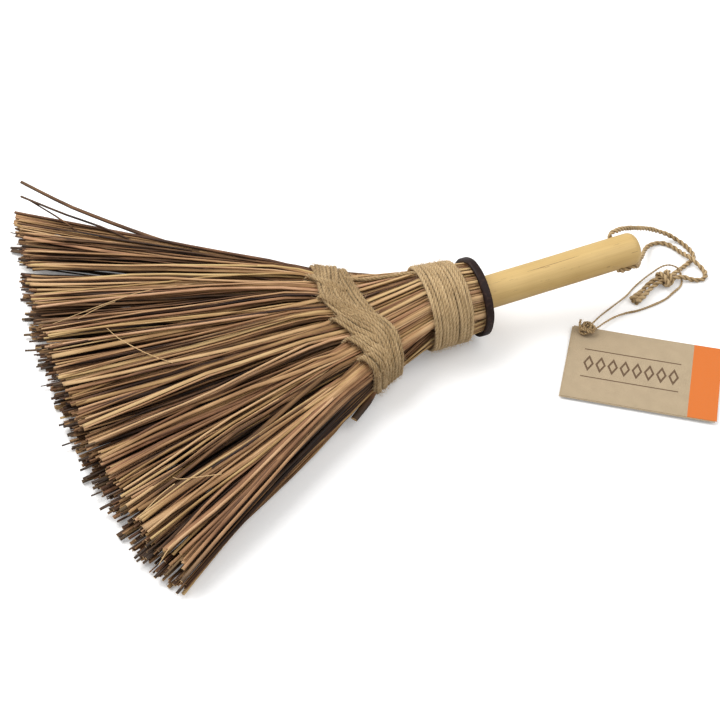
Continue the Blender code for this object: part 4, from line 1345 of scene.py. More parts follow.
@dataclass
class StickFan:
    """Some nine hundred leaf ribs in twelve bundles, from the ring to the fan's tips."""

    form: BroomForm
    bundles: int = 6
    columns: int = 9
    rows: int = 8
    width: float = 0.0028
    height: float = 0.0024
    sides: int = 5
    top_depth: float = 0.97
    row_step: float = 0.115
    depth_jitter: float = 0.06
    neck_sink: Triple = (0.0, 0.075, 0.15)
    crown: float = 0.0036
    pinch_share: float = 0.30
    tip_jitter: float = 0.0045
    top_setback: float = 0.0072
    long_tip_share: float = 0.075
    long_tip_reach: float = 0.0075
    near_trim: float = 0.009
    edge_sticks: int = 34
    edge_share_reach: float = 0.055
    bow: float = 0.0036
    waver: float = 0.0019
    tip_wander: float = 0.9
    crosser_share: float = 0.12
    crosser_reach: tuple[float, float] = (0.025, 0.06)
    # painted shade: each row below the surface gets a darker tint
    row_painted_shade: float = 0.085
    seed: int = 11
    skipped: tuple[int, ...] = (1, 4)
    between_shares: tuple[float, ...] = (0.08, 0.2, 0.34, 0.48, 0.62, 0.77)
    end_lengths: tuple[float, ...] = (0.012, 0.0022)
    slits: tuple[Slit, ...] = (
        Slit(0.165, 0.70, 1.12, 0.0036, 8, 0.035, True),
        Slit(0.215, 0.33, 0.70, 0.0022),
        Slit(0.290, 0.10, 0.70, 0.0022),
        Slit(0.514, 0.42, 0.82, 0.0022),
        Slit(0.608, 0.32, 0.70, 0.0024),
        Slit(0.770, 0.55, 1.10, 0.0022),
        Slit(0.825, 0.30, 0.70, 0.0024),
        Slit(0.930, 0.45, 0.90, 0.0018),
        Slit(0.333, -0.2, 0.30, 0.0015),
        Slit(0.500, -0.2, 0.32, 0.0015),
        Slit(0.690, -0.2, 0.36, 0.0018),
        Slit(0.850, -0.2, 0.38, 0.0018),
    )
    strips: tuple[tuple[float, ...], ...] = (
        (0.335, 0.400, 1.8, 0.64, 0.35),
        (0.505, 0.480, 1.6, 0.70, 0.45),
        (0.620, 0.600, 1.4, 0.78, 0.30),
        (0.765, 0.690, 1.6, 0.58, 0.50),
        (0.935, 0.875, 2.2, 0.60, 0.60),
        (0.155, 0.150, 1.5, 0.54, 0.40),
    )
    fibres: tuple[tuple[Triple, ...], ...] = (
        waypoints(-2899, 669, 300, -2555, 728, 320, -2183, 782, 320, -1662, 736, 310),
        waypoints(-2723, 665, 300, -2579, 715, 310, -2442, 757, 300),
        waypoints(-2546, 503, 310, -2483, 358, 320, -2322, 153, 320, -2181, 28, 310),
        waypoints(-2662, -1185, 300, -2527, -1088, 310, -2400, -1004, 300),
        waypoints(-2400, -955, 310, -2352, -994, 320, -2099, -1024, 310),
        waypoints(-2628, -1576, 290, -2554, -1492, 300, -2484, -1428, 290),
    )
    strays: tuple[tuple[float, float, tuple[Triple, ...]], ...] = (
        (1.55, 0.17, waypoints(
            -1200, 745, 250, -1500, 925, 280, -1811, 1150, 300, -2109, 1425, 300,
            -2366, 1692, 300, -2626, 1985, 300, -2875, 2322, 300,
        )),
        (0.80, 0.05, waypoints(
            -1500, 890, 80, -1850, 1130, 130, -2199, 1406, 280,
            -2391, 1588, 315, -2651, 1843, 318, -2905, 2120, 320,
        )),
        (0.66, 0.05, waypoints(
            -1900, 1060, 70, -2300, 1400, 110, -2626, 1737, 290,
            -2755, 1926, 300, -2879, 2110, 310,
        )),
    )
    stub: tuple[Triple, ...] = waypoints(
        -880, -470, 140, -932, -520, 128, -991, -570, 118, -1108, -670, 105
    )

    def build(self, tree: StickTree, material: Material) -> None:
        """Makes one piece for each bundle.

        Args:
            tree: The tree that sweeps the sticks.
            material: Their finish.
        """
        chance = random.Random(self.seed)
        values = {"Width": self.width, "Height": self.height, "Sides": self.sides}
        values.update({"Waver": self.waver, "Material": material})
        for layer in Layer:
            for bundle in range(self.bundles):
                strands = [
                    self.stick(layer, bundle, row, column, chance)
                    for row in range(self.rows)
                    for column in range(self.columns)
                ]
                if layer is Layer.UPPER:
                    strands += self.extras(bundle, chance)
                name = f"{layer.name.lower()}_stick_bundle_{bundle + 1}"
                keep(tree.grow("ribs_" + name, strands, values), BROOM_BODY, "palm_rib", name)

    def extras(self, bundle: int, chance: random.Random) -> list[Strand]:
        """A bundle's wide strips, and the loose fibres that lie over the fan.

        Args:
            bundle: The bundle's number from the far side, from 0.
            chance: The source of randomness.

        Returns:
            Their lines.
        """
        strands = []
        for root, tip, girth, tint, hue in self.strips:
            if int(root * self.bundles) == bundle:
                build = Build(girth, 0.33, tint, hue, (0.0, 0.1, 0.5))
                line, ups = self.course(Layer.UPPER, root, tip, 1.0, 0.0, 0, 0.0, chance)
                strands.append(self.strand(line, ups, build, chance))
        loose = []
        if bundle == 0:
            strands += [self.edge_stick(chance) for _ in range(self.edge_sticks)]
            for girth, tint, points in self.strays:
                loose.append((points, 14, Build(girth, 0.9, tint, 0.5, (0.2, 0.4, 0.8))))
        if bundle == 2:
            fibre = Build(0.3, 0.8, 0.95, 0.4, (0.0, 0.0, 0.0))
            loose += [(points, 9, fibre) for points in self.fibres]
        if bundle == self.bundles - 1:
            loose.append((self.stub, 6, Build(2.3, 0.8, 0.12, 0.5, (0.6, 1.0, 1.0))))
        for points, count, build in loose:
            strands.append(self.strand(smooth_line(points, count), [UP] * count, build, chance))
        return strands

    def edge_stick(self, chance: random.Random) -> Strand:
        """One of the sticks that crowd along the far edge.

        Args:
            chance: The source of randomness.

        Returns:
            The stick.
        """
        root, tip = chance.uniform(0.004, 0.05), chance.uniform(0.003, self.edge_share_reach)
        reach = chance.uniform(-self.tip_jitter, self.tip_jitter * 0.5)
        build = self.made_like(Layer.UPPER, 1, False, chance)
        depth = chance.uniform(0.2, 0.95)
        line, ups = self.course(Layer.UPPER, root, tip, depth, 0.1, 1, reach, chance)
        return self.strand(line, ups, build, chance)

    def made_like(self, layer: Layer, row: int, long: bool, chance: random.Random) -> Build:
        """Picks a stick's thickness and colouring.

        Args:
            layer: The half of the fan.
            row: The row, 0 at the surface.
            long: Whether its tip stands out past the others, which is where their ends are
                darkened, partly as dark wood and partly as painted shade.
            chance: The source of randomness.

        Returns:
            What the stick is like.
        """
        pick = chance.random()
        flat = chance.uniform(0.75, 1.05)
        if row < 2 and pick < 0.12:
            girth, flat = chance.uniform(1.3, 1.8), 0.38
        elif pick < 0.28:
            girth = chance.uniform(0.42, 0.62)
        elif pick < 0.74:
            girth = chance.uniform(0.65, 0.98)
        else:
            girth = chance.uniform(0.95, 1.25)
        # Deeper rows are tinted darker as painted shade between the sticks.
        tint = chance.gauss(0.53, 0.20) - self.row_painted_shade * row
        if chance.random() < 0.20:
            tint -= 0.27
        # Dark ends, more often on deep rows and the lower half: partly dark wood, partly painted
        # shade.
        ends = (0.0, 0.0, 0.15) if row < 3 and layer is Layer.UPPER else (0.0, 0.05, 0.15)
        if long or row > 2 and chance.random() < 0.06:
            ends = (0.7, 1.0, 1.0)
        return Build(girth, flat, min(1.0, max(0.0, tint)), chance.random(), ends)

    def stick(
        self, layer: Layer, bundle: int, row: int, column: int, chance: random.Random
    ) -> Strand:
        """One stick from its butt in the ring to its cut tip.

        Args:
            layer: The half of the fan.
            bundle: The bundle's number.
            row: The row, 0 at the surface.
            column: The place across the bundle.
            chance: The source of randomness.

        Returns:
            The stick's line and values.
        """
        long = chance.random() < self.long_tip_share * (1.6 if layer is Layer.LOWER else 0.5)
        build = self.made_like(layer, row, long, chance)
        root = (bundle + (column + 0.5 + chance.uniform(-0.3, 0.3)) / self.columns) / self.bundles
        depth = self.top_depth - row * self.row_step - chance.uniform(0, self.depth_jitter)
        sunk = self.neck_sink[(column + row) % 3]
        slots = 2 * self.rows
        number = row if layer is Layer.UPPER else slots - 1 - row
        stagger = ((number * 5) % slots + 0.5) / slots
        wander = chance.gauss(0, self.tip_wander)
        tip = (bundle + (column + stagger + wander) / self.columns) / self.bundles
        if chance.random() < self.crosser_share:
            tip += chance.choice((-1, 1)) * chance.uniform(*self.crosser_reach)
            depth += 0.05
        tip = 0.003 + 0.994 * (1 - abs(1 - abs(tip)))
        reach = chance.uniform(-self.tip_jitter, self.tip_jitter * 0.5)
        reach -= self.near_trim * max(0.0, (tip - 0.9) / 0.1)
        if long:
            reach += self.long_tip_reach * chance.uniform(0.4, 1.0)
        line, ups = self.course(layer, root, tip, depth, sunk, row, reach, chance)
        line = raised(line, self.height * build.girth * build.flat / 2 * 0.9)
        return self.strand(line, ups, build, chance)

    def course(
        self,
        layer: Layer,
        root: float,
        tip: float,
        depth: float,
        sunk: float,
        row: int,
        reach: float,
        chance: random.Random,
    ) -> tuple[np.ndarray, list[np.ndarray]]:
        """A stick's line from the ring to its tip.

        Args:
            layer: The half of the fan.
            root: The share of the way across at the ring and the windings.
            tip: The share of the way across at the tips.
            depth: The share of the way out from the core.
            sunk: How much deeper it lies at the neck.
            row: The row, 0 at the surface.
            reach: How far it ends past the tips' arc.
            chance: The source of randomness.

        Returns:
            The points and the way that its upper side faces at each.
        """
        form = self.form
        group = (math.floor(root * self.bundles) + 0.5) / self.bundles
        off = (root - group) * self.bundles * 2
        crown = self.crown * (1 - off * off) * max(0.0, depth)
        points, ups = [], []
        for number, section in enumerate(form.sections):
            if number in self.skipped:
                continue
            at_neck = float(np.clip((0.105 - section.back) / 0.04, 0, 1))
            pinch = self.pinch_share * float(np.clip((section.back - 0.095) / 0.017, 0, 1))
            share = root + (group - root) * pinch
            point, out = form.inside(section, layer, share, depth - sunk * at_neck)
            points.append(point)
            ups.append(out)
        thickness = form.tip_thickness * (1 - 0.15 * abs(1 - 2 * tip) ** 4)
        tip_height = thickness / 2 * (1 + layer.value * depth * 0.9)
        end, side, outward = form.tip(tip, tip_height)
        setback = self.top_setback * float(np.clip((tip_height / thickness - 0.3) / 0.5, 0, 1))
        end = end + outward * (reach - setback * min(1.0, tip / 0.09))
        start = points[-1] + UP * layer.value * crown * 0.4
        points[-1] = start
        spring = start - points[-2]
        spring = spring / np.linalg.norm(spring) * 0.05
        sideways = chance.uniform(-self.bow, self.bow)
        if abs(1 - 2 * tip) > 0.93:
            sideways = math.copysign(sideways, 0.5 - tip)
        upward = chance.uniform(-0.6, 0.9) * self.bow
        whole = float(np.linalg.norm(end - start))
        near_end = [1 - length / whole for length in self.end_lengths]
        for share in (*self.between_shares, *near_end, 1.0):
            arch = 4 * share * (1 - share)
            swell = crown * max(0.0, 1 - share / 0.55) ** 1.5 * min(1.0, 0.4 + share * 8)
            lift = upward * arch + layer.value * (swell - crown * 0.4 * (1 - share))
            point = start + (end - start) * share
            point = point + spring * (1 - share) ** 3 * share * 0.8 + UP * lift
            point = point + side * (sideways * arch + self.parting(layer, tip, share, row))
            points.append(point)
            ups.append(UP * layer.value)
        return np.array(points), ups

    def parting(self, layer: Layer, tip: float, along: float, row: int) -> float:
        """How far all slits together move a stick sideways.

        Args:
            layer: The half of the fan.
            tip: The share of the way across at the tips.
            along: The share of the way from the lower winding to the tip.
            row: The row, 0 at the surface.

        Returns:
            The move toward the near side.
        """
        on_top = layer is Layer.UPPER
        slits = [slit for slit in self.slits if slit.through or on_top and row < slit.rows]
        drop = 0.5 - layer.value * 0.45 * (self.top_depth - row * self.row_step)
        return sum(slit.shift(tip, along, drop) for slit in slits)

    def strand(self, line: np.ndarray, ups: list, build: Build, chance: random.Random) -> Strand:
        """Wraps a line with the values that its sweep and its finish need.

        Args:
            line: The stick's line.
            ups: The way that its upper side faces at each point.
            build: What the stick is like.
            chance: The source of randomness.

        Returns:
            The strand.
        """
        run = run_along(line)
        share = run / run[-1]
        taper = np.interp(share, (0, 0.2, 0.4, 1), (0.60, 0.72, 0.95, chance.uniform(0.7, 1.0)))
        ends = np.zeros(len(line))
        ends[-3:] = build.ends
        values = {
            "girth": build.girth * taper,
            "flat": build.flat,
            "up": np.array(ups, float),
            "stick": chance.uniform(0, 60),
            "loose": np.clip((share - 0.4) / 0.2, 0, 1) * np.clip((1.05 - share) / 0.2, 0.3, 1),
            TINT: build.tint,
            "hue": build.hue,
            "end": ends,
            ALONG: share,
        }
        return Strand(self.form.world(line), values)


@dataclass
class Windings:
    """The jute windings: the neck's, the two that cross at the fan, and the stitches."""

    form: BroomForm
    neck_diameter: float = 0.0029
    neck_turns: int = 11
    neck_start: float = 0.0118
    neck_pitch: float = 0.00252
    cross_diameter: float = 0.0028
    cross_turns: int = 9
    cross_start: float = 0.0798
    cross_pitch: float = 0.0026
    cross_slant: float = 0.012
    diagonal_turns: int = 6
    diagonal_start: float = 0.0790
    diagonal_pitch: float = 0.0025
    diagonal_swing: float = 0.0125
    diagonal_middle_share: float = -0.25
    diagonal_span_share: float = 0.75
    groups: int = 6
    stitch_back: float = 0.1106
    stitch_strands: int = 4
    stitch_pitch: float = 0.0027
    stitch_spans: tuple[float, ...] = (0.15, 0.24, 0.33, 0.33, 0.30)
    stitch_slope: float = 0.0150
    stitch_dive: float = 0.0045
    stitch_swell: float = 0.0016
    wander: float = 0.0005
    lay: float = 0.0100
    hairs: float = 170000.0
    neck_pale: float = 0.5
    lower_pale: float = 0.14
    surface: float = 0.0004
    start_share: float = 0.74
    drifts_per_turn: int = 5
    seed: int = 23

    def build(self, tree: CordTree, material: Material) -> None:
        """Makes the four pieces.

        Args:
            tree: The tree that lays the cord.
            material: The jute's finish.
        """
        chance = random.Random(self.seed)
        low = self.surface + self.cross_diameter / 2
        high = low + self.cross_diameter * 0.6
        neck_lift = self.surface + self.neck_diameter / 2
        routes = {
            "upper_binding": [self.wound(self.neck_turns, neck_lift, self.neck_back, chance)],
            "cross_binding": [
                self.wound(self.cross_turns, low, self.cross_back, chance),
                self.link(low),
            ],
            "diagonal_binding": [self.wound(self.diagonal_turns, high, self.diagonal_back, chance)],
            "stitch_row": self.stitch_lines(chance),
        }
        for number, (name, lines) in enumerate(routes.items()):
            diameter, pale = self.cross_diameter, self.lower_pale
            if name == "upper_binding":
                diameter, pale = self.neck_diameter, self.neck_pale
            strands = [cord_strand(self.form.world(line), chance, pale=pale) for line in lines]
            values = {"Diameter": diameter, "Lay": self.lay, "Seed": number + 1}
            values.update({"Hairs": self.hairs, "Material": material})
            keep(tree.grow("jute_" + name, strands, values), BROOM_BODY, "binding_jute", name)

    def neck_back(self, turns: float, place: float) -> float:
        """How far behind the ring the neck's winding lies."""
        return self.neck_start + self.neck_pitch * turns

    def slant(self, place: float) -> float:
        """How far the first lower winding runs toward the handle at a sideways place."""
        return self.cross_slant * ((1 - place) / 2) ** 2

    def cross_back(self, turns: float, place: float) -> float:
        """How far behind the ring the first lower winding lies."""
        return self.cross_start + self.cross_pitch * turns - self.slant(place)

    def diagonal_back(self, turns: float, place: float) -> float:
        """How far behind the ring the crossing winding lies."""
        along = (place - self.diagonal_middle_share) / self.diagonal_span_share
        swing = self.diagonal_swing * math.sin(math.pi / 2 * max(-1.0, along))
        return self.diagonal_start + self.diagonal_pitch * turns + swing

    def wound(
        self,
        loops: int,
        lift: float,
        back_at: Callable[[float, float], float],
        chance: random.Random,
    ) -> np.ndarray:
        """A winding's line round the sticks.

        Args:
            loops: How many turns it has.
            lift: Its middle's distance off the sticks.
            back_at: Its place behind the ring, from the turns so far and the sideways place.
            chance: The source of randomness.

        Returns:
            The line in the broom's frame.
        """
        steps = self.form.half_steps
        around = 2 * steps
        start = round(around * self.start_share)
        knots = range(loops * self.drifts_per_turn + 2)
        drift = [chance.uniform(-self.wander, self.wander) for _ in knots]
        rise = [chance.uniform(-0.0001, self.wander) for _ in knots]
        line = []
        for number in range(loops * around + 1):
            turns = number / around
            share = ((start + number) % around) / steps
            place = math.cos(math.pi * min(share, 2 - share))
            mark = turns * self.drifts_per_turn
            back = back_at(turns, place) + float(np.interp(mark, knots, drift))
            lifted = lift + float(np.interp(mark + 0.4, knots, rise))
            line.append(self.form.wrapped(back, start + number, lifted))
        return raised(np.array(line), self.cross_diameter * 0.5)

    def link(self, lift: float) -> np.ndarray:
        """The strand that runs along the far edge from the lower winding to the upper one.

        Args:
            lift: Its middle's distance off the sticks.

        Returns:
            The line in the broom's frame.
        """
        marks = np.linspace(0, 1, 24)
        backs = self.cross_start + 0.004 + (self.neck_start + 0.018 - self.cross_start) * marks
        indices = 6.6 + 6.6 * marks + 0.6 * np.sin(marks * 7)
        places = zip(backs, indices, lift - 0.0012 * marks)
        return np.array([self.form.wrapped(*place) for place in places])

    def stitch_lines(self, chance: random.Random) -> list[np.ndarray]:
        """Short cords that dive between the groups of sticks and run into the crossing band.

        Args:
            chance: The source of randomness.

        Returns:
            Their lines in the broom's frame.
        """
        lines = []
        full = self.surface + self.cross_diameter * 1.15
        strands = range(self.stitch_strands)
        places = [(gap, strand) for gap in range(1, self.groups) for strand in strands]
        for gap, strand in places:
            first = gap / self.groups + 0.006 * (strand - 2) + chance.uniform(-0.006, 0.006)
            start = self.stitch_back - strand * self.stitch_pitch + chance.uniform(-0.0006, 0.0006)
            line = []
            for mark in np.linspace(0, 1, 40):
                share = first + self.stitch_spans[gap - 1] * mark
                place = math.cos(math.pi * min(share, 2 - share))
                settle = min(1.0, mark / 0.16)
                settle = settle * settle * (3 - 2 * settle)
                lift = -self.stitch_dive + (full + self.stitch_dive) * settle
                lift -= max(0.0, mark - 0.55) * self.cross_diameter * 1.2
                lift += self.stitch_swell * abs(math.sin(math.pi * self.groups * share)) * settle
                back = start - self.stitch_slope * mark - self.slant(place)
                line.append(self.form.wrapped(back, self.form.half_steps * share, lift))
            lines.append(raised(np.array(line), self.cross_diameter * 0.5))
        return lines


def cord_strand(
    line: np.ndarray,
    chance: random.Random,
    fray: float = 0.0,
    swell: float = 0.0,
    fat: Any = 1.0,
    pale: float = 0.5,
) -> Strand:
    """Wraps a cord's line with its girth, tint and fray.

    Args:
        line: The cord's line in world places.
        chance: The source of randomness.
        fray: How much more hair its ends have.
        swell: How much thicker its ends are.
        fat: How thick it looks for its diameter, all along or at each point.
        pale: How pale it is, from 0 to 1.

    Returns:
        The strand.
    """
    run = run_along(line)
    to_end = np.minimum(run, run[-1] - run)
    phase = chance.uniform(0, 9)
    girth = 1 + 0.06 * np.sin(run * 310 + phase) + 0.05 * np.sin(run * 1130 + 2 * phase)
    girth = girth * fat * (1 + swell * np.clip(1 - to_end / 0.014, 0, 1) ** 0.7)
    tint = pale + 0.24 * np.sin(run * 47 + phase) * np.cos(run * 131) + chance.uniform(-0.1, 0.1)
    fray_here = fray * np.clip(1 - to_end / 0.008, 0, 1)
    return Strand(line, {"girth": girth, "fray": fray_here, TINT: tint})


@dataclass
class HangCord:
    """The hanging cord through the handle, and the knot round both its strands."""

    form: BroomForm
    diameter: float = 0.003
    length: float = 0.450
    lay: float = 0.0100
    knot_centre: Triple = (0.1566, 0.0005, 0.00495)
    knot_half_width: float = 0.0060
    knot_half_height: float = 0.00345
    knot_pitch: float = 0.0028
    knot_loops: int = 3
    knot_steps: int = 28
    seed: int = 31
    route: tuple[Triple, ...] = waypoints(
        1238, -106, 24, 1332, -53, 24, 1425, 2, 38, 1500, 22, 48, 1566, 22, 48, 1630, 28, 48,
        1675, 48, 44, 1715, 76, 32, 1765, 108, 18, 1815, 133, 15, 1872, 164, 15, 1907, 200, 15,
        1913, 258, 15, 1900, 335, 16, 1868, 400, 25, 1800, 446, 62, 1710, 447, 118, 1601, 412, 200,
        1461, 344, 300, 1334, 262, 400, 1235, 200, 470, 1170, 158, 505, 1125, 134, 522,
        1098, 122, 526, 1086, 98, 511, 1084, 60, 482, 1084, 0, 435, 1084, -60, 388, 1086, -93, 360,
        1100, -95, 347, 1138, -86, 338, 1183, -85, 342, 1226, -72, 338, 1264, -40, 304,
        1305, 12, 248, 1356, 88, 186, 1418, 179, 120, 1490, 262, 80, 1580, 368, 42, 1650, 416, 22,
        1715, 425, 15, 1765, 400, 15, 1802, 350, 15, 1826, 286, 18, 1840, 220, 34, 1852, 152, 54,
        1875, 90, 42, 1902, 44, 18, 1899, -8, 15, 1864, -50, 15, 1815, -52, 16, 1765, -36, 22,
        1718, -14, 36, 1670, -6, 48, 1620, -12, 48, 1566, -12, 48, 1500, -18, 48, 1430, -40, 38,
        1350, -87, 24, 1258, -137, 24,
    )

    def build(self, tree: CordTree, material: Material) -> None:
        """Args:
            tree: The tree that lays the cord.
            material: The jute's finish.
        """
        chance = random.Random(self.seed)
        line = self.form.world(raised(smooth_line(self.route, 220), self.diameter / 2))
        values = {"Diameter": self.diameter, "Lay": self.lay, "Material": material, "Seed": 8}
        values.update({"Plies": 2, "Sides": 7, "Step": 0.0011, "Hair thickness": 0.0001})
        values.update({"Hair length": 0.0014, "Hairs": 180000.0})
        cord = tree.grow("hanging_cord", [cord_strand(line, chance, 6.0, 0.50, 1.25)], values)
        keep(cord, BROOM_BODY, "hang_jute", "hang_cord")
        strand = cord_strand(self.form.world(self.knot_line()), chance, fat=1.1)
        knot = tree.grow("hanging_knot", [strand], values)
        keep(knot, BROOM_BODY, "hang_jute", "hang_knot")

    def knot_line(self) -> np.ndarray:
        """The turns round both strands.

        Returns:
            The line in the broom's frame.
        """
        points = []
        for step in range(-4, self.knot_loops * self.knot_steps + 5):
            done = step / self.knot_steps
            turn = math.tau * step / self.knot_steps
            along = self.knot_pitch * (done - self.knot_loops / 2) + 0.0012 * math.sin(turn * 0.63)
            sideways = self.knot_half_width * (1 + 0.1 * math.sin(turn * 0.71)) * math.cos(turn)
            upward = self.knot_half_height * (1 + 0.12 * math.sin(turn * 0.83)) * math.sin(turn)
            points.append(np.array(self.knot_centre) + (along, sideways, upward))
        return raised(np.array(points), self.diameter / 2)


@dataclass
class CardTag:
    """The tag: two leaves of kraft card, the lower one slipped a little."""

    form: BroomForm
    length: float = 0.107
    width: float = 0.0715
    height: float = 0.0015
    thickness: float = 0.0006
    leaf: float = 0.00028
    heading: float = math.radians(-31.5)
    place: tuple[float, float] = (0.0781, -0.0307)
    hole_from_end: float = 0.0097
    hole_from_edge: float = 0.0048
    hole_radius: float = 0.0012
    hole_sides: int = 28
    curl: float = 0.0009
    slip: tuple[float, float] = (-0.0012, -0.0009)
    steps: tuple[int, int] = (54, 36)
    sharp: float = math.radians(40)

    def build(self, finish: CardFinish) -> None:
        """Makes both leaves.

        Args:
            finish: The card's finish.
        """
        top = self.height + self.thickness - self.leaf
        upper = self.leaf_piece("tag_front_leaf", top, (0.0, 0.0), finish.build(True))
        keep(upper, TAG_BODY, "tag_kraft", "tag_card")
        lower = self.leaf_piece("tag_back_leaf", self.height, self.slip, finish.build(False))
        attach(lower, TAG_BODY)

    def leaf_piece(
        self, name: str, height: float, slip: tuple[float, float], material: Material
    ) -> Piece:
        """One leaf: a slightly curled sheet with a punched hole.

        Args:
            name: The piece's name.
            height: The height of its underside.
            slip: How far it lies off the other leaf, along and across.
            material: Its finish.

        Returns:
            The piece, with its place in its mesh.
        """
        shape = bmesh.new()
        layer = shape.loops.layers.uv.new("UVMap")
        columns, rows = self.steps
        grid = []
        for row in range(rows + 1):
            for column in range(columns + 1):
                along, across = column / columns, row / rows
                x = along * self.length - self.hole_from_end + slip[0]
                y = across * self.width - self.width + self.hole_from_edge + slip[1]
                rise = self.curl * (along**3 * 0.7 + (1 - across) ** 4 * 0.45)
                grid.append(shape.verts.new((x, y, height + rise)))
        for row in range(rows):
            for column in range(columns):
                low = row * (columns + 1) + column
                corners = (low, low + 1, low + columns + 2, low + columns + 1)
                face = shape.faces.new([grid[corner] for corner in corners])
                for loop, corner in zip(face.loops, corners):
                    share = (corner % (columns + 1) / columns, corner // (columns + 1) / rows)
                    loop[layer].uv = share
        mesh = bpy.data.meshes.new(name + ".sheet")
        shape.to_mesh(mesh)
        shape.free()
        sheet = linked(name + ".sheet", mesh)
        thick = sheet.modifiers.new("thick", "SOLIDIFY")
        thick.thickness, thick.offset = self.leaf, 1.0
        made = bored(sheet, self.hole_radius, 0.02, self.hole_sides, Matrix())
        where = self.form.world((*self.place, 0.0))
        made.transform(Matrix.Translation(where) @ Matrix.Rotation(self.heading, 4, "Z"))
        return dressed(name, made, material, self.sharp)


@dataclass
class TagString:
    """The tag's thin string loop and its knot through the card's hole."""

    form: BroomForm
    card: CardTag
    diameter: float = 0.0012
    length: float = 0.212
    lay: float = 0.0045
    coil_radius: float = 0.0056
    coil_rise: float = 0.0022
    coil_foot: float = 0.0036
    coil_loops: int = 5
    knot_girth: float = 1.6
    through_share: float = 0.13
    tail: float = 0.0040
    tail_lift: float = 0.0016
    under: float = 0.0007
    edge_reach: float = 0.00192
    fold: float = 0.0007
    clearance: float = 0.0003
    seed: int = 37
    girth_shares: tuple[float, ...] = (0.45, 0.6, 0.84, 0.95)
    girths: tuple[float, ...] = (1.15, 1.65, 1.5, 1.2)
    route: tuple[Triple, ...] = waypoints(
        815, -283, 34, 847, -254, 33, 938, -195, 29, 1047, -134, 19, 1218, -42, 8, 1330, 36, 6,
        1430, 86, 16, 1520, 110, 44, 1580, 116, 70, 1630, 110, 80, 1670, 88, 78, 1696, 60, 67,
        1708, 30, 30, 1704, 2, 9, 1688, -34, 6, 1652, -72, 6, 1580, -110, 6, 1490, -158, 6,
        1358, -190, 6, 1240, -206, 6, 1142, -209, 13, 1033, -236, 28, 930, -276, 36, 869, -304, 37,
        818, -318, 36,
    )

    def build(self, tree: CordTree, material: Material) -> None:
        """Args:
            tree: The tree that lays the cord.
            material: The string's finish.
        """
        chance = random.Random(self.seed)
        line = self.form.world(raised(smooth_line(self.route, 150), self.diameter / 2))
        values = {"Diameter": self.diameter, "Lay": self.lay, "Plies": 2, "Sides": 7, "Seed": 9}
        values.update({"Step": 0.0005, "Hairs": 130000.0, "Material": material})
        values.update({"Hair length": 0.0009, "Hair thickness": 0.00005})
        fat = np.interp(np.linspace(0, 1, len(line)), self.girth_shares, self.girths)
        string = tree.grow("tag_loop_string", [cord_strand(line, chance, fat=fat)], values)
        keep(string, BROOM_BODY, "tag_jute", "tag_string")
        knot_line = self.form.world(smooth_line(self.knot_route(), 220))
        through = np.linspace(0, 1, len(knot_line)) > 1 - self.through_share
        fat = np.where(through, 1.0, self.knot_girth)
        values.update({"Hair length": 0.0022, "Hair thickness": 0.00008})
        strand = cord_strand(knot_line, chance, 3.0, fat=fat, pale=0.1)
        knot = tree.grow("tag_loop_knot", [strand], values)
        keep(knot, BROOM_BODY, "tag_jute", "tag_knot")

    def knot_route(self) -> list[np.ndarray]:
        """The coil on the card, then down the hole, under the card and back over its edge.

        Returns:
            The route's points in the broom's frame.
        """
        card = self.card
        centre = np.array((*card.place, 0.0))
        out = np.array((-math.sin(card.heading), math.cos(card.heading), 0.0))
        back = np.array((-math.cos(card.heading), -math.sin(card.heading), 0.0))
        top = card.height + card.thickness + self.clearance + self.diameter / 2
        points = []
        for step in range(self.coil_loops * 10 + 1):
            turn = math.tau * step / 10
            round_it = back * math.cos(turn) - out * math.sin(turn)
            radius = self.coil_radius * (0.72 + 0.28 * math.cos(turn * 1.45))
            height = self.coil_foot + self.coil_rise * (1 + math.cos(turn * 0.875))
            points.append(centre + round_it * radius + UP * height)
        tail = points[0] + out * self.tail + UP * self.tail_lift
        points = [tail, points[0] + (tail - points[0]) / 2, *points]
        edge = card.hole_from_edge + self.edge_reach
        middle = card.height + card.thickness / 2
        reach = self.coil_radius + self.diameter / 2 + self.clearance * 2
        for outward, height in (
            (0.0, top),
            (0.0, middle),
            (self.diameter / 2, self.under),
            (card.hole_from_edge * 0.7, self.under),
            (edge - self.fold, self.under),
            (edge, middle),
            (edge - self.fold, top + self.clearance),
            (reach, top + self.clearance),
        ):
            points.append(centre + out * outward + UP * height)
        return points


def lathed(rows: list[list[Triple]], closed: bool) -> tuple[list[Triple], list[tuple[int, ...]]]:
    """Points and faces of a skin over rows of points that each close on themselves.

    Args:
        rows: The rows, which all have the same number of points.
        closed: Whether the last row joins the first. Otherwise both ends are capped.

    Returns:
        The points and the faces.
    """
    count, last = len(rows[0]), len(rows) - 1
    faces = []
    for row in range(len(rows) if closed else last):
        low, high = row * count, (row + 1) % len(rows) * count
        for step in range(count):
            after = (step + 1) % count
            faces.append((low + step, low + after, high + after, high + step))
    if not closed:
        faces += [tuple(range(count)), tuple(range(last * count, (last + 1) * count))]
    return [point for row in rows for point in row], faces


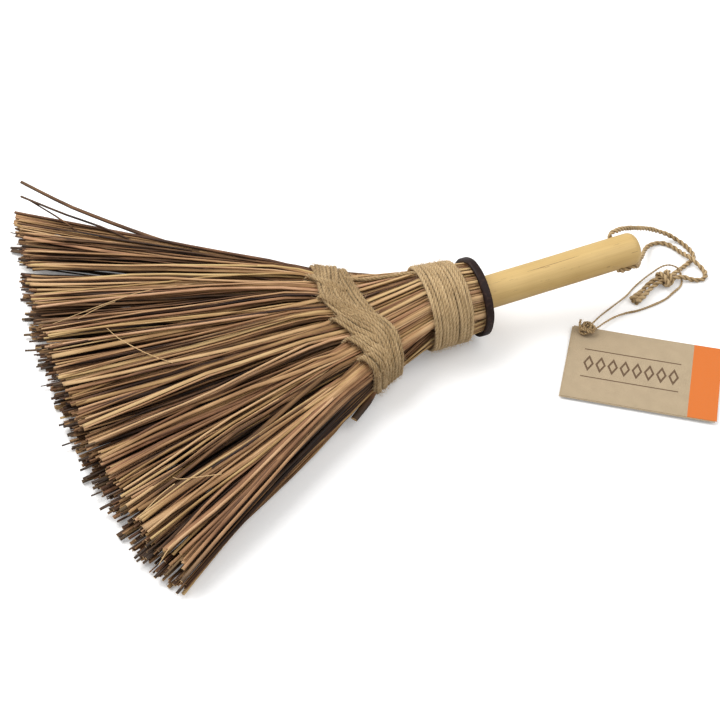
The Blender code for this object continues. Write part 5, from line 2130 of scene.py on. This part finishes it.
@dataclass
class Handle:
    """The turned wooden handle with its pointed stake and its hanging hole."""

    form: BroomForm
    reach: float = 0.1195
    end_round: float = 0.007
    hole_radius: float = 0.0025
    hole_sides: int = 32
    hole_setback: float = 0.018
    hole_turn: float = math.radians(38)
    sides: int = 72
    sharp: float = math.radians(38)

    def build(self, material: Material) -> None:
        """Makes the handle.

        Args:
            material: The wood's finish.
        """
        rows = []
        for along, radius in self.profile():
            rows.append([])
            for side in range(self.sides):
                turn = math.tau * side / self.sides
                uneven = 1 + 0.006 * math.sin(3 * turn + along * 40) + 0.004 * math.sin(along * 95)
                y, z = radius * uneven * math.cos(turn), radius * uneven * math.sin(turn)
                rows[-1].append((along, y, z))
        points, faces = lathed(rows, False)
        mesh = bpy.data.meshes.new("handle_blank")
        mesh.from_pydata(points, [], faces)
        across = Matrix.Rotation(self.hole_turn, 4, "X") @ Matrix.Rotation(math.pi / 2, 4, "X")
        across = Matrix.Translation((self.reach - self.hole_setback, 0, 0)) @ across
        blank = settled("handle_blank", mesh)
        made = bored(blank, self.hole_radius, 0.05, self.hole_sides, across)
        fibre = made.attributes.new(FIBRE, "FLOAT_VECTOR", "POINT")
        fibres = [(vertex.co.y, vertex.co.z, vertex.co.x) for vertex in made.vertices]
        fibre.data.foreach_set("vector", np.array(fibres, np.float32).ravel())
        foot = self.form.world(self.form.handle_point(0.0))
        made.transform(Matrix.Translation(foot) @ Matrix.Rotation(-self.form.handle_rise, 4, "Y"))
        piece = dressed("turned_handle", made, material, self.sharp)
        keep(piece, BROOM_BODY, "handle_wood", "handle")

    def profile(self) -> list[tuple[float, float]]:
        """The turned outline.

        Returns:
            Places along the axis, each with its radius.
        """
        form = self.form
        full, thin = form.handle_radius, form.stake_tip_radius
        point, shoulder = -form.stake_length, form.stake_shoulder
        profile = []
        for step in range(9):
            share = step / 8
            along = point + (form.stake_length - shoulder) * share
            profile.append((along, thin + (full - thin) * share))
        start = self.reach - self.end_round
        for step in range(1, 22):
            profile.append((-shoulder + (start + shoulder) * step / 21, full))
        for step in range(1, 13):
            turn = math.radians(86) * step / 12
            profile.append((start + self.end_round * math.sin(turn), full * math.cos(turn) ** 0.6))
        return profile


@dataclass
class CollarRing:
    """The dark band round the butts of the sticks."""

    form: BroomForm
    radius: float = 0.029
    wall: float = 0.003
    width: float = 0.006
    rounding: float = 0.0011
    yaw: float = math.radians(4)
    sides: int = 120

    def build(self, material: Material) -> None:
        """Makes the ring.

        Args:
            material: The band's finish.
        """
        half, inner = self.width / 2, self.radius - self.wall
        corners = ((-half, inner), (half, inner), (half, self.radius), (-half, self.radius))
        inward = ((1, 1), (-1, 1), (-1, -1), (1, -1))
        profile = []
        for number, ((x, radius), (along, out)) in enumerate(zip(corners, inward)):
            x, radius = x + along * self.rounding, radius + out * self.rounding
            for step in range(5):
                turn = math.radians(180 + 90 * number + 22.5 * step)
                bend = (self.rounding * math.cos(turn), self.rounding * math.sin(turn))
                profile.append((x + bend[0], radius + bend[1]))
        rows = []
        for side in range(self.sides):
            turn = math.tau * side / self.sides
            uneven = 0.00015 * math.sin(5 * turn) + 0.0001 * math.sin(11 * turn)
            way = (math.cos(turn), math.sin(turn))
            rows.append([(x, (r + uneven) * way[0], (r + uneven) * way[1]) for x, r in profile])
        points, faces = lathed(rows, True)
        mesh = bpy.data.meshes.new("collar_band")
        mesh.from_pydata(points, [], faces)
        centre = self.form.world((0.0, 0.0, self.form.ring_height))
        mesh.transform(Matrix.Translation(centre) @ Matrix.Rotation(self.yaw, 4, "Z"))
        piece = dressed("collar_band", mesh, material)
        keep(piece, BROOM_BODY, "collar_rubber", "collar_ring")


@dataclass
class Studio:
    """The plain pale floor, the soft lights and the photograph's camera."""

    form: BroomForm
    lens: float = 70.0
    sensor: float = 36.0
    eye: Triple = (-0.3000, -0.6663, 0.7193)
    aim: Triple = (-0.0866, -0.0052, 0.0)
    floor_size: float = 6.0
    floor_drop: float = 0.0002
    floor_glow: float = 0.16
    lamps: tuple[tuple[str, Triple, float, float], ...] = (
        ("key", (-0.55, 0.55, 1.25), 1.1, 18.5),
        ("fill", (0.75, -0.55, 1.15), 1.2, 7.5),
    )
    world_colour: Triple = (1.0, 0.99, 0.975)
    world_strength: float = 0.57

    def build(self) -> None:
        """Makes the floor, the lights, the world and the camera."""
        self.floor()
        for name, place, size, power in self.lamps:
            data = bpy.data.lights.new(name, "AREA")
            data.size, data.energy = size, power
            self.pointed(linked(name, data), Vector(place), Vector())
        world = bpy.data.worlds.new("studio")
        world.use_nodes = True
        shade = world.node_tree.nodes["Background"]
        shade.inputs["Color"].default_value = (*self.world_colour, 1.0)
        shade.inputs["Strength"].default_value = self.world_strength
        data = bpy.data.cameras.new("camera")
        data.lens, data.sensor_width = self.lens, self.sensor
        camera = linked("camera", data)
        eye, aim = (Vector(self.form.world(place)) for place in (self.eye, self.aim))
        self.pointed(camera, eye, aim)
        scene = bpy.context.scene
        scene.world, scene.camera = world, camera
        scene.view_settings.view_transform = "Standard"

    def pointed(self, thing: Piece, place: Vector, aim: Vector) -> None:
        """Places a light or a camera and turns it to a point."""
        thing.location = place
        thing.rotation_euler = (aim - place).to_track_quat("-Z", "Y").to_euler()

    def floor(self) -> None:
        """The floor, which looks white to the camera and keeps the broom's shadow."""
        mesh = bpy.data.meshes.new("floor")
        half = self.floor_size / 2
        corners = [(-half, -half, 0), (half, -half, 0), (half, half, 0), (-half, half, 0)]
        mesh.from_pydata(corners, [], [(0, 1, 2, 3)])
        mesh.transform(Matrix.Translation((0, 0, -self.floor_drop)))
        floor = linked("floor", mesh)
        paint = Paint("pale_floor")
        seen = Field(paint, paint.add("ShaderNodeLightPath").outputs["Is Camera Ray"])
        tone = paint.mixed(seen, (0.60, 0.60, 0.60), (0.93, 0.93, 0.93))
        glow = {"Emission Color": (1.0, 1.0, 1.0, 1.0), "Emission Strength": seen * self.floor_glow}
        mesh.materials.append(paint.done(tone, 1.0, 0.0, more=glow))


def main() -> None:
    """Builds the studio and every piece."""
    logging.basicConfig(level=logging.INFO, format="%(name)s: %(message)s")
    low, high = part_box("collar_ring")
    form = BroomForm(Vector(((low.x + high.x) / 2, (low.y + high.y) / 2, 0.0)))
    grain, sticks, cords = GrainGroup(), StickTree(), CordTree()
    card = CardTag(form)
    Studio(form).build()
    HangCord(form).build(cords, JuteFinish("hang_jute").build(grain))
    TagString(form, card).build(cords, JuteFinish("tag_jute").build(grain))
    StickFan(form).build(sticks, RibFinish().build(grain))
    Windings(form).build(cords, JuteFinish("binding_jute").build(grain))
    Handle(form).build(WoodFinish().build(grain))
    CollarRing(form).build(BandFinish().build())
    card.build(CardFinish())


if __name__ == "__main__":
    main()
